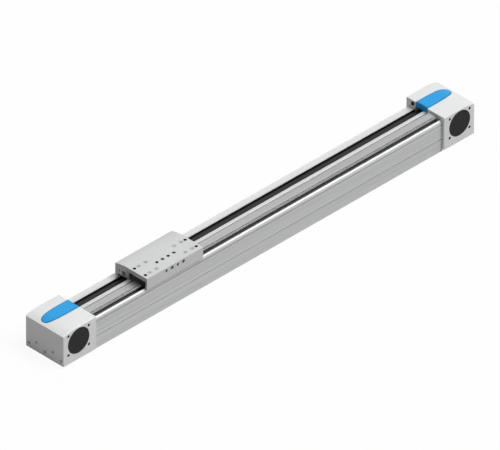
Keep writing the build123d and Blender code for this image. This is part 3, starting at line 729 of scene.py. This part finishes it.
def refine_node(
    node: str,
    finish: Finish,
    body: Body,
    edge: float = 0.0,
    segments: int = 2,
    mesh: bmesh.types.BMesh | None = None,
    sharp_edge: float = 35,
) -> None:
    """Replaces a CAD node by a copy whose edges are broken as on a real piece.

    Args:
        node: Name of the node.
        finish: Finish of the copy.
        body: Body that the node belongs to.
        edge: Width of the broken edges, or 0 for none.
        segments: Faces across each broken edge.
        mesh: Mesh of the copy where it differs from the node's own.
        sharp_edge: Angle in degrees from which an edge is broken.
    """
    bm = merged_copy(node) if mesh is None else mesh
    piece = add_piece(node + "_finished", bm, finish, body)
    if edge:
        bevel = piece.modifiers.new("broken_edges", "BEVEL")
        bevel.width = edge
        bevel.segments = segments
        bevel.limit_method = "ANGLE"
        bevel.angle_limit = math.radians(sharp_edge)
        bevel.profile = 0.5
        bevel.harden_normals = True
    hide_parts(node)


def node_middle(node: str) -> Vector:
    """Middle of a CAD node's box."""
    low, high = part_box(node)
    return (low + high) / 2


@dataclass(frozen=True)
class Ring:
    """One ring of a round piece. For six sides the radius is half the width across flats."""

    radius: float
    height: float
    six_sided: bool = False

    def shape(self, verts: Iterable[bmesh.types.BMVert]) -> None:
        """Moves the corners of a circle about Z to this ring.

        Args:
            verts: Corners of the circle.
        """
        for vert in verts:
            unit = vert.co.xy.normalized()
            reach = self.radius
            if self.six_sided:
                angle = math.atan2(unit.y, unit.x) % (math.pi / 3) - math.pi / 6
                reach = self.radius / math.cos(angle)
            reach = max(reach, POLE_RADIUS)
            vert.co = (unit.x * reach, unit.y * reach, self.height)


def stack_rings(
    bm: bmesh.types.BMesh,
    rings: Sequence[Ring],
    origin: Sequence[float],
    direction: Sequence[float],
    segments: int = 24,
) -> None:
    """Builds a round piece by pulling one circle from ring to ring.

    Args:
        bm: Mesh that the piece is added to.
        rings: Rings in their order along the surface. A radius of 0 closes the piece.
        origin: Place on the axis that heights are counted from.
        direction: Direction of the axis.
        segments: Corners of each ring.
    """
    made = bmesh.ops.create_circle(bm, cap_ends=False, segments=segments, radius=1.0)
    verts = list(made["verts"])
    edges = list({edge for vert in verts for edge in vert.link_edges})
    rings[0].shape(verts)
    for ring in rings[1:]:
        pulled = bmesh.ops.extrude_edge_only(bm, edges=edges)["geom"]
        new_verts = [item for item in pulled if isinstance(item, bmesh.types.BMVert)]
        edges = [item for item in pulled if isinstance(item, bmesh.types.BMEdge)]
        edges = [edge for edge in edges if all(vert in new_verts for vert in edge.verts)]
        ring.shape(new_verts)
        verts += new_verts
    turn = Vector(UP).rotation_difference(Vector(direction)).to_matrix().to_4x4()
    bmesh.ops.transform(bm, matrix=Matrix.Translation(Vector(origin)) @ turn, verts=verts)


def close_mesh(bm: bmesh.types.BMesh, weld: float = 0.01 * MM) -> bmesh.types.BMesh:
    """Closes the poles of stacked pieces and points their faces outwards.

    Args:
        bm: Mesh of the pieces.
        weld: Distance up to which corners become one.

    Returns:
        The same mesh.
    """
    bmesh.ops.remove_doubles(bm, verts=bm.verts, dist=weld)
    bmesh.ops.recalc_face_normals(bm, faces=bm.faces)
    return bm


def close_lining(bm: bmesh.types.BMesh, weld: float = 0.005 * MM) -> bmesh.types.BMesh:
    """Closes the floors of linings and turns their faces towards the holes' axes.

    Args:
        bm: Mesh of the linings.
        weld: Distance up to which corners become one.

    Returns:
        The same mesh.
    """
    close_mesh(bm, weld)
    bmesh.ops.reverse_faces(bm, faces=bm.faces)
    return bm


class Turned(ABC):
    """Round piece that is stacked up ring by ring along its axis."""

    segments: ClassVar[int] = 24

    @abstractmethod
    def rings(self) -> list[Ring]:
        """Rings in their order along the surface."""

    def add_to(
        self, bm: bmesh.types.BMesh, origin: Sequence[float], direction: Sequence[float]
    ) -> None:
        """Adds one such piece, with height 0 at the origin, to a mesh."""
        stack_rings(bm, self.rings(), origin, direction, self.segments)


@dataclass(frozen=True)
class SocketScrew(Turned):
    """Socket head screw whose origin is in the middle of the face under its head."""

    diameter: float
    head_diameter: float
    head_height: float
    length: float
    socket_width: float
    socket_depth: float
    edge: float = 0.25 * MM

    def rings(self) -> list[Ring]:
        """Rings from the floor of the socket over the head to the tip.

        Returns:
            The rings.
        """
        top = self.head_height
        head = self.head_diameter / 2
        shank = self.diameter / 2
        floor = top - self.socket_depth
        flats = self.socket_width / 2
        return [
            Ring(0, floor - flats / 3),
            Ring(flats, floor, True),
            Ring(flats, top - self.edge / 2, True),
            Ring(flats * HEXAGON_CORNER + self.edge / 2, top),
            Ring(head - self.edge, top),
            Ring(head, top - self.edge),
            Ring(head, 0),
            Ring(shank, 0),
            Ring(shank, self.edge - self.length),
            Ring(shank - self.edge, -self.length),
            Ring(0, -self.length),
        ]


@dataclass(frozen=True)
class ThreadLiner(Turned):
    """Cut thread that lines a hole from its mouth down, as rings of crests and roots; its
    near-black finish and the flare round the mouth paint the hole's shade.
    """

    hole_radius: float
    depth: float
    pitch: float = 0.8 * MM
    cut: float = 0.28 * MM
    wall: float = 0.02 * MM
    lead_in: float = 0.4 * MM
    flare: float = 0.38 * MM
    crest_start: float = 0.4
    crest_end: float = 0.55
    segments: ClassVar[int] = 20

    def rings(self) -> list[Ring]:
        """Rings from the mouth of the hole over its lead-in, dark as painted shade, to the floor
        of the thread.

        Returns:
            The rings.
        """
        root = self.hole_radius - self.wall
        crest = root - self.cut
        rings = [
            Ring(self.hole_radius + self.flare, -self.wall),
            Ring(self.hole_radius + self.flare / 3, -self.flare / 3),
            Ring(root, -self.lead_in),
        ]
        for turn in range(int((self.depth - 2 * self.lead_in) / self.pitch)):
            start = self.lead_in + turn * self.pitch
            rings.append(Ring(crest, -start - self.pitch * self.crest_start))
            rings.append(Ring(crest, -start - self.pitch * self.crest_end))
            rings.append(Ring(root, -start - self.pitch))
        floor = self.depth - self.wall
        return rings + [Ring(root, -floor), Ring(0, -floor)]


@dataclass(frozen=True)
class SleeveLiner(Turned):
    """Centring sleeve with a plain floor, pressed into a round recess from its mouth."""

    hole_radius: float
    depth: float
    wall: float = 0.6 * MM
    play: float = 0.02 * MM
    edge: float = 0.15 * MM
    sunk: float = 0.1 * MM
    floor_height: float = 0.4 * MM

    def rings(self) -> list[Ring]:
        """Rings from the middle of the underside round the wall to the middle of the floor.

        Returns:
            The rings.
        """
        outer = self.hole_radius - self.play
        inner = outer - self.wall
        under = self.play - self.depth
        floor = under + self.floor_height
        return [
            Ring(0, under),
            Ring(outer, under),
            Ring(outer, -self.sunk - self.edge),
            Ring(outer - self.edge, -self.sunk),
            Ring(inner + self.edge, -self.sunk),
            Ring(inner, -self.sunk - self.edge),
            Ring(inner, floor),
            Ring(0, floor),
        ]


@dataclass(frozen=True)
class Beam:
    """Extruded beam with the guide rail, its screws and the belt."""

    beam_edge: float = 0.45 * MM
    rail_edge: float = 0.15 * MM
    strip_edge: float = 0.08 * MM

    def build(self) -> None:
        """Dresses the beam, the rail and the belt."""
        refine_node("profile", BEAM_FINISH, Body.BASE, self.beam_edge)
        refine_node("guide_rail", RAIL_FINISH, Body.BASE, self.rail_edge, 1)
        refine_node("rail_cover_strip", STRIP_FINISH, Body.BASE, self.strip_edge, 1)
        refine_node("toothed_belt", BELT_FINISH, Body.BASE)
        dress_node("rail_screws", SCREW_FINISH)


@dataclass(frozen=True)
class SideDisc:
    """Round plastic plate over a shaft bore, with a raised rim and a catch."""

    end: End
    side: Side
    segments: int = 96
    rim_width: float = 1.4 * MM
    rim_step: float = 0.25 * MM
    dish_share: float = 0.35
    edge: float = 0.5 * MM
    edge_share: float = 0.3
    catch_angle: float = math.radians(48)
    catch_length: float = 3.2 * MM
    catch_width: float = 1.8 * MM
    catch_height: float = 0.5 * MM

    def build(self) -> None:
        """Builds the plate with its outer face flush with the CAD node's."""
        node = f"{self.end.word}_disc_{self.side.word}"
        low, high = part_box(node)
        middle = (low + high) / 2
        radius = (high.x - low.x) / 2
        thickness = high.y - low.y
        face = Vector((middle.x, self.side.outermost(low, high), middle.z))
        inner = radius - self.rim_width
        turn = self.edge * self.edge_share
        rings = [
            Ring(0, -self.rim_step),
            Ring(inner * self.dish_share, -self.rim_step),
            Ring(inner - self.rim_step, -self.rim_step),
            Ring(inner, 0),
            Ring(radius - self.edge, 0),
            Ring(radius - turn, -turn),
            Ring(radius, -self.edge),
            Ring(radius, -thickness),
            Ring(0, -thickness),
        ]
        bm = bmesh.new()
        stack_rings(bm, rings, face, (0, self.side.value, 0), self.segments)
        close_mesh(bm)
        self.add_catch(bm, face, inner - self.catch_width)
        piece = add_piece(node + "_finished", bm, DISC_FINISH, Body.BASE)
        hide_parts(node)

    def add_catch(self, bm: bmesh.types.BMesh, face: Vector, reach: float) -> None:
        """Adds the small catch at the upper edge of the plate.

        Args:
            bm: Mesh of the plate.
            face: Middle of its outer face.
            reach: Distance of the catch from the middle.
        """
        size = (self.catch_length, self.catch_height, self.catch_width)
        verts = bmesh.ops.create_cube(bm, size=1.0)["verts"]
        bmesh.ops.scale(bm, vec=size, verts=verts)
        bevelled = bmesh.ops.bevel(
            bm,
            geom=list({edge for vert in verts for edge in vert.link_edges}),
            offset=self.catch_height / 4,
            segments=2,
            profile=0.5,
            affect="EDGES",
            material=-1,
        )
        rounded = {vert for made_face in bevelled["faces"] for vert in made_face.verts}
        verts = list(rounded | {vert for vert in verts if vert.is_valid})
        away = Vector((math.cos(self.catch_angle), 0, math.sin(self.catch_angle))) * reach
        sunk = Vector((0, -self.side.value * self.catch_height / 2, 0))
        turn = Matrix.Rotation(math.pi / 2 - self.catch_angle, 4, "Y")
        move = Matrix.Translation(face + away + sunk)
        bmesh.ops.transform(bm, matrix=move @ turn, verts=verts)


@dataclass(frozen=True)
class Cap:
    """Blue cap of one cover: a crowned tongue with a rounded rim over the body in its pocket."""

    end: End
    steps_along: int = 48
    steps_across: int = 24
    tip_length: float = 38 * MM
    tip_power: float = 2.8
    proud: float = 1.2 * MM
    drop: float = 4.4 * MM
    drop_length: float = 25 * MM
    tip_margin: float = 5 * MM
    crown: float = 0.5 * MM
    edge: float = 1.1 * MM
    corner: float = 2.2 * MM
    sunk: float = 0.15 * MM
    body_step: float = 0.6 * MM
    # Width over which painted shade fades in towards the tongue's outline.
    rim_width: float = 2.8 * MM
    sharp_angle: float = 50

    def build(self) -> None:
        """Builds the tongue over a lowered copy of the CAD cap."""
        node = self.end.word + "_cap"
        low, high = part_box(node)
        bm = merged_copy(node)
        rim = bm.verts.layers.float.new(RIM_SHADE)
        for vert in bm.verts:
            vert.co.z -= self.body_step * max(0.0, min(1.0, (vert.co.z - low.z) / self.proud))
        verts = self.add_top(bm, rim, low, high)
        self.add_skirt(bm, rim, verts, low, high)
        bmesh.ops.recalc_face_normals(bm, faces=bm.faces)
        piece = add_piece(node + "_finished", bm, BLUE_FINISH, Body.BASE, self.sharp_angle)
        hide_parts(node)

    def add_top(
        self, bm: bmesh.types.BMesh, rim: bmesh.types.BMLayerItem, low: Vector, high: Vector
    ) -> list[bmesh.types.BMVert]:
        """Adds the tongue's upper surface as a fine grid that follows its outline.

        Args:
            bm: Mesh of the cap.
            rim: Layer with each point's share of the painted rim shade.
            low: Low corner of the CAD cap's box.
            high: High corner of that box.

        Returns:
            Corners of the grid.
        """
        verts = bmesh.ops.create_grid(
            bm, x_segments=self.steps_along, y_segments=self.steps_across, size=1.0
        )["verts"]
        length = high.x - low.x
        half = (high.y - low.y) / 2
        outer = self.end.outermost(low, high)
        for vert in verts:
            from_tip = length * (1 - math.cos(math.pi * (vert.co.x + 1) / 2)) / 2
            share = math.sin(math.pi / 2 * vert.co.y)
            reach = self.half_width(from_tip, length, half)
            inside = min((1 - abs(share)) * reach, length - from_tip)
            ridge = self.top_height(from_tip, high.z)
            # Painted shade grows towards the outline.
            vert[rim] = max(0.0, 1 - inside / self.rim_width)
            vert.co = (
                outer - self.end.value * from_tip,
                low.y + half + share * reach,
                ridge - self.crown * share * share - self.roll(inside),
            )
        return verts

    def add_skirt(
        self,
        bm: bmesh.types.BMesh,
        rim: bmesh.types.BMLayerItem,
        verts: Iterable[bmesh.types.BMVert],
        low: Vector,
        high: Vector,
    ) -> None:
        """rim: Layer with each point's share of the painted rim shade.
            verts: Corners of the upper surface.
            low: Low corner of the CAD cap's box.
            high: High corner of that box.
        """
        border = {edge for vert in verts for edge in vert.link_edges if edge.is_boundary}
        pulled = bmesh.ops.extrude_edge_only(bm, edges=list(border))["geom"]
        for vert in pulled:
            if isinstance(vert, bmesh.types.BMVert):
                from_tip = abs(vert.co.x - self.end.outermost(low, high))
                vert.co.z = self.top_height(from_tip, high.z) - self.proud - self.sunk
                # The skirt takes full painted shade.
                vert[rim] = 1.0

    def half_width(self, from_tip: float, length: float, half: float) -> float:
        """Half of the tongue's width.

        Args:
            from_tip: Distance from the tip.
            length: Length of the whole tongue.
            half: Half of its full width.

        Returns:
            Half of the width at that place.
        """
        left = max(0.0, 1 - from_tip / self.tip_length)
        reach = half * (1 - left**self.tip_power) ** (1 / self.tip_power)
        past = max(0.0, from_tip - length + self.corner)
        return reach - self.corner + math.sqrt(max(0.0, self.corner**2 - past**2))

    def top_height(self, from_tip: float, top: float) -> float:
        """Height of the tongue's ridge, which follows the cover's top down to its end.

        Args:
            from_tip: Distance from the tip.
            top: Height of the level part.

        Returns:
            Height at that place.
        """
        past = max(0.0, self.drop_length - self.tip_margin - from_tip)
        radius = (self.drop_length**2 + self.drop**2) / (2 * self.drop)
        return top - radius + math.sqrt(radius**2 - past**2)

    def roll(self, inside: float) -> float:
        """Drop of the surface where the rim rolls over, from the distance to the outline."""
        short = max(0.0, self.edge - inside)
        return self.edge - math.sqrt(self.edge**2 - short**2)


@dataclass(frozen=True)
class EndCover:
    """Cover of one end with its cap, plates, pulley, bearings and studs."""

    end: End
    cover_edge: float = 0.35 * MM
    front_hole_radius: float = 2.5 * MM
    back_hole_radius: float = 2.1 * MM
    flange_hole_depth: float = 10 * MM
    flange_spacing_x: float = 43 * MM
    flange_spacing_z: float = 35 * MM
    end_spacing: float = 34.2 * MM
    end_height: float = 10.9 * MM
    end_recess: float = 2 * MM
    end_hole_radius: float = 1.65 * MM
    end_hole_depth: float = 16 * MM

    def build(self) -> None:
        """Builds and dresses everything at this end."""
        word = self.end.word
        refine_node(word + "_cover", COVER_FINISH, Body.BASE, self.cover_edge)
        Cap(self.end).build()
        refine_node(word + "_stop", STOP_FINISH, Body.BASE, self.cover_edge)
        for side in Side:
            SideDisc(self.end, side).build()
        self.line_holes()
        self.dress_drive()

    def line_holes(self) -> None:
        """Cuts threads into the flange holes and the holes of the end face, near-black to paint
        their shade.
        """
        bm = bmesh.new()
        axis = node_middle(self.end.word + "_pulley_flanges")
        low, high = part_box(self.end.word + "_cover")
        for side, radius in (
            (Side.FRONT, self.front_hole_radius),
            (Side.BACK, self.back_hole_radius),
        ):
            liner = ThreadLiner(radius, self.flange_hole_depth)
            face_y = side.outermost(low, high)
            for step_x in (-self.flange_spacing_x / 2, self.flange_spacing_x / 2):
                for step_z in (-self.flange_spacing_z / 2, self.flange_spacing_z / 2):
                    mouth = (axis.x + step_x, face_y, axis.z + step_z)
                    liner.add_to(bm, mouth, (0, side.value, 0))
        floor_x = self.end.outermost(low, high) - self.end.value * self.end_recess
        liner = ThreadLiner(self.end_hole_radius, self.end_hole_depth - self.end_recess)
        for y in (-self.end_spacing, 0, self.end_spacing):
            liner.add_to(bm, (floor_x, y, self.end_height), (self.end.value, 0, 0))
        add_piece(self.end.word + "_threads", close_lining(bm), HOLE_SHADE_FINISH, Body.BASE)

    def dress_drive(self) -> None:
        """Gives the pulley, the bearings and the small parts their finishes."""
        finishes = {
            "_pulley": PULLEY_FINISH,
            "_pulley_flanges": PULLEY_FINISH,
            "_bearing_outer_rings": RING_FINISH,
            "_bearing_inner_rings": RING_FINISH,
            "_circlips": CLIP_FINISH,
            "_cover_studs": SCREW_FINISH,
        }
        for ending, finish in finishes.items():
            dress_node(self.end.word + ending, finish)


@dataclass(frozen=True)
class Slide:
    """Slide with its carriages, screws, seals and belt clamps."""

    plate_edge: float = 0.4 * MM
    plate_sharp_edge: float = 50
    cap_edge: float = 0.4 * MM
    carriage_edge: float = 0.25 * MM
    guide_y: float = -17.1 * MM
    row_spacing: float = 24 * MM
    corner_x: float = 54 * MM
    hole_radius: float = 2.1 * MM
    hole_depth: float = 6 * MM
    middle_count: int = 4
    middle_pitch: float = 12 * MM
    side_hole_radius: float = 1.65 * MM
    side_hole_drop: float = 5.3 * MM
    sink: float = 0.7 * MM
    flare_share: float = 0.9
    sleeve: SleeveLiner = field(default_factory=lambda: SleeveLiner(3 * MM, 2.2 * MM))
    screw_x: tuple[float, ...] = (-45 * MM, -30.5 * MM, 30.5 * MM, 45 * MM)
    screw_seat_depth: float = 4 * MM
    carriage_screw: SocketScrew = field(
        default_factory=lambda: SocketScrew(
            diameter=4 * MM,
            head_diameter=7 * MM,
            head_height=3.6 * MM,
            length=9.3 * MM,
            socket_width=2.5 * MM,
            socket_depth=1.8 * MM,
        )
    )

    def build(self) -> None:
        """Builds and dresses the slide and all that it carries."""
        plate = merged_copy("slide_plate")
        for mouth, direction, radius in self.thread_places():
            sink_hole(plate, mouth, direction, radius, self.sink)
        refine_node(
            "slide_plate",
            SLIDE_FINISH,
            Body.SLIDE,
            self.plate_edge,
            mesh=plate,
            sharp_edge=self.plate_sharp_edge,
        )
        refine_node("carriage_end_caps", BLACK_FINISH, Body.SLIDE, self.cap_edge)
        refine_node("carriage_seals", SEAL_FINISH, Body.SLIDE, self.carriage_edge)
        refine_node("near_carriage", CARRIAGE_FINISH, Body.SLIDE, self.carriage_edge, 1)
        refine_node("far_carriage", CARRIAGE_FINISH, Body.SLIDE, self.carriage_edge, 1)
        self.add_screws()
        self.line_holes()
        dress_node("belt_clamp_blocks", CLAMP_FINISH)
        dress_node("belt_clamp_jaws", CLAMP_FINISH)
        dress_node("clamp_screws", SCREW_FINISH)
        dress_node("tension_screws", SLEEVE_FINISH)

    def top_places(self, steps_x: Iterable[float], drop: float = 0.0) -> list[Vector]:
        """Places in both rows of the slide's top.

        Args:
            steps_x: Distances from the slide's middle along X.
            drop: Depth below the top.

        Returns:
            The places.
        """
        low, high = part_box("slide_plate")
        centre = (low.x + high.x) / 2
        rows = (self.guide_y - self.row_spacing / 2, self.guide_y + self.row_spacing / 2)
        steps = list(steps_x)
        return [Vector((centre + step, y, high.z - drop)) for y in rows for step in steps]

    def add_screws(self) -> None:
        """Builds the screws that hold the slide on its carriages."""
        bm = bmesh.new()
        for seat in self.top_places(self.screw_x, self.screw_seat_depth):
            self.carriage_screw.add_to(bm, seat, UP)
        piece = add_piece("carriage_screws_finished", close_mesh(bm), SCREW_FINISH, Body.SLIDE)
        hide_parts("carriage_screws")

    def middle_places(self) -> list[tuple[Vector, Vector]]:
        """Holes along the middle of the top and along the front side.

        Returns:
            Mouth and direction of each hole, first the top's and then the front's.
        """
        low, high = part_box("slide_plate")
        first = (low.x + high.x) / 2 - (self.middle_count - 1) / 2 * self.middle_pitch
        along = [first + index * self.middle_pitch for index in range(self.middle_count)]
        side_z = high.z - self.side_hole_drop
        top = [(Vector((x, self.guide_y, high.z)), Vector(UP)) for x in along]
        front = [(Vector((x, low.y, side_z)), Vector((0, -1, 0))) for x in along]
        return top + front

    def thread_places(self) -> list[tuple[Vector, Vector, float]]:
        """Threaded holes of the slide.

        Returns:
            Mouth, direction and radius of each hole.
        """
        corners = self.top_places((-self.corner_x, self.corner_x))
        places = [(corner, Vector(UP), self.hole_radius) for corner in corners]
        for mouth, direction in self.middle_places()[::2]:
            radius = self.hole_radius if direction.z else self.side_hole_radius
            places.append((mouth, direction, radius))
        return places

    def line_holes(self) -> None:
        """Cuts threads into the mounting holes, near-black to paint their shade, and sets sleeves
        into the recesses between.
        """
        threads = bmesh.new()
        sleeves = bmesh.new()
        # The flare lays painted shade over the countersink round each mouth.
        flare = self.sink * self.flare_share
        for mouth, direction, radius in self.thread_places():
            liner = ThreadLiner(radius, self.hole_depth, lead_in=self.sink, flare=flare)
            liner.add_to(threads, mouth, direction)
        for mouth, direction in self.middle_places()[1::2]:
            self.sleeve.add_to(sleeves, mouth, direction)
        add_piece("slide_threads", close_lining(threads), HOLE_SHADE_FINISH, Body.SLIDE)
        add_piece("slide_sleeves", close_mesh(sleeves), SLEEVE_FINISH, Body.SLIDE)


@dataclass(frozen=True)
class Studio:
    """Floor, light and camera of a plain product photograph."""

    azimuth: float = math.radians(-44.713)
    elevation: float = math.radians(35.1018)
    distance: float = 31.797
    lens: float = 1500.0
    clip_start: float = 1.0
    clip_end: float = 100.0
    shift_right: float = -0.00256
    shift_up: float = 0.02325
    floor_size: float = 14.0
    ambient: float = 0.3
    mirrored: float = 0.55
    floor_grey: float = 0.42
    floor_share: float = 0.86
    floor_glow: float = 1.08
    light_distance: float = 3.0
    key_direction: tuple[float, float, float] = (0.3, -0.44, 0.85)
    key_power: float = 2.5
    key_softness: float = math.radians(28)
    fill_direction: tuple[float, float, float] = (0.62, 0.6, 0.5)
    fill_power: float = 0.35
    fill_softness: float = math.radians(50)

    def build(self) -> None:
        """Sets up the whole studio."""
        self.add_floor()
        self.light_world()
        self.add_sun("key_light", self.key_direction, self.key_power, self.key_softness)
        self.add_sun("fill_light", self.fill_direction, self.fill_power, self.fill_softness)
        self.add_camera()
        bpy.context.scene.view_settings.view_transform = "Standard"

    def ray(self, tree: ShaderTree, kind: str) -> Number:
        """1 for a ray of the given kind, else 0."""
        return tree.number(tree.node("ShaderNodeLightPath"), f"Is {kind} Ray")

    def add_floor(self) -> None:
        """Lays a plain pale floor that shows white and keeps a soft shadow."""
        bm = bmesh.new()
        bmesh.ops.create_grid(bm, x_segments=1, y_segments=1, size=self.floor_size / 2)
        mesh = bpy.data.meshes.new("floor")
        bm.to_mesh(mesh)
        bm.free()
        floor = bpy.data.objects.new("floor", mesh)
        bpy.context.scene.collection.objects.link(floor)
        material = bpy.data.materials.new("floor_paint")
        material.use_nodes = True
        tree = ShaderTree(material.node_tree)
        grey = (self.floor_grey, self.floor_grey, self.floor_grey, 1)
        white = {"Color": (1, 1, 1, 1), "Strength": self.floor_glow}
        paint = tree.node("ShaderNodeBsdfDiffuse", inputs={"Color": grey})
        glow = tree.node("ShaderNodeEmission", inputs=white)
        share = self.ray(tree, "Camera") * self.floor_share
        mixed = {0: share, 1: paint.outputs[0], 2: glow.outputs[0]}
        mix = tree.node("ShaderNodeMixShader", inputs=mixed)
        tree.node("ShaderNodeOutputMaterial", inputs={"Surface": mix.outputs[0]})
        mesh.materials.append(material)

    def light_world(self) -> None:
        """Fills the room with even light and shows it white."""
        world = bpy.data.worlds.new("studio")
        world.use_nodes = True
        bpy.context.scene.world = world
        tree = ShaderTree(world.node_tree)
        seen = self.ray(tree, "Camera") * (1 - self.ambient)
        strength = seen + self.ray(tree, "Glossy") * (self.mirrored - self.ambient) + self.ambient
        inputs = {"Color": (1, 1, 1, 1), "Strength": strength}
        light = tree.node("ShaderNodeBackground", inputs=inputs)
        tree.node("ShaderNodeOutputWorld", inputs={"Surface": light.outputs[0]})

    def add_sun(
        self, name: str, direction: Sequence[float], power: float, softness: float
    ) -> None:
        """Adds a wide soft light.

        Args:
            name: Name of the light.
            direction: Direction that it comes from.
            power: Its power.
            softness: Angle that it fills in the sky.
        """
        lamp = bpy.data.lights.new(name, "SUN")
        lamp.energy = power
        lamp.angle = softness
        light = bpy.data.objects.new(name, lamp)
        light.rotation_mode = "QUATERNION"
        light.rotation_quaternion = Vector(direction).to_track_quat("Z", "Y")
        light.location = Vector(direction).normalized() * self.light_distance
        bpy.context.scene.collection.objects.link(light)

    def add_camera(self) -> None:
        """Places the camera as in the photograph, far away with a very long lens."""
        sine, cosine = math.sin(self.azimuth), math.cos(self.azimuth)
        level = math.cos(self.elevation)
        back = Vector((sine * level, -cosine * level, math.sin(self.elevation)))
        right = Vector((cosine, sine, 0))
        up = back.cross(right)
        lens = bpy.data.cameras.new("camera")
        lens.lens = self.lens
        lens.clip_start = self.clip_start
        lens.clip_end = self.clip_end
        camera = bpy.data.objects.new("camera", lens)
        camera.location = right * self.shift_right + up * self.shift_up + back * self.distance
        camera.rotation_mode = "QUATERNION"
        camera.rotation_quaternion = back.to_track_quat("Z", "Y")
        bpy.context.scene.collection.objects.link(camera)
        bpy.context.scene.camera = camera


def main() -> None:
    """Builds the studio and every part of the axis."""
    logging.basicConfig(level=logging.INFO, format="%(message)s")
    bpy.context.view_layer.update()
    Studio().build()
    Beam().build()
    for end in End:
        EndCover(end).build()
    Slide().build()


if __name__ == "__main__":
    main()
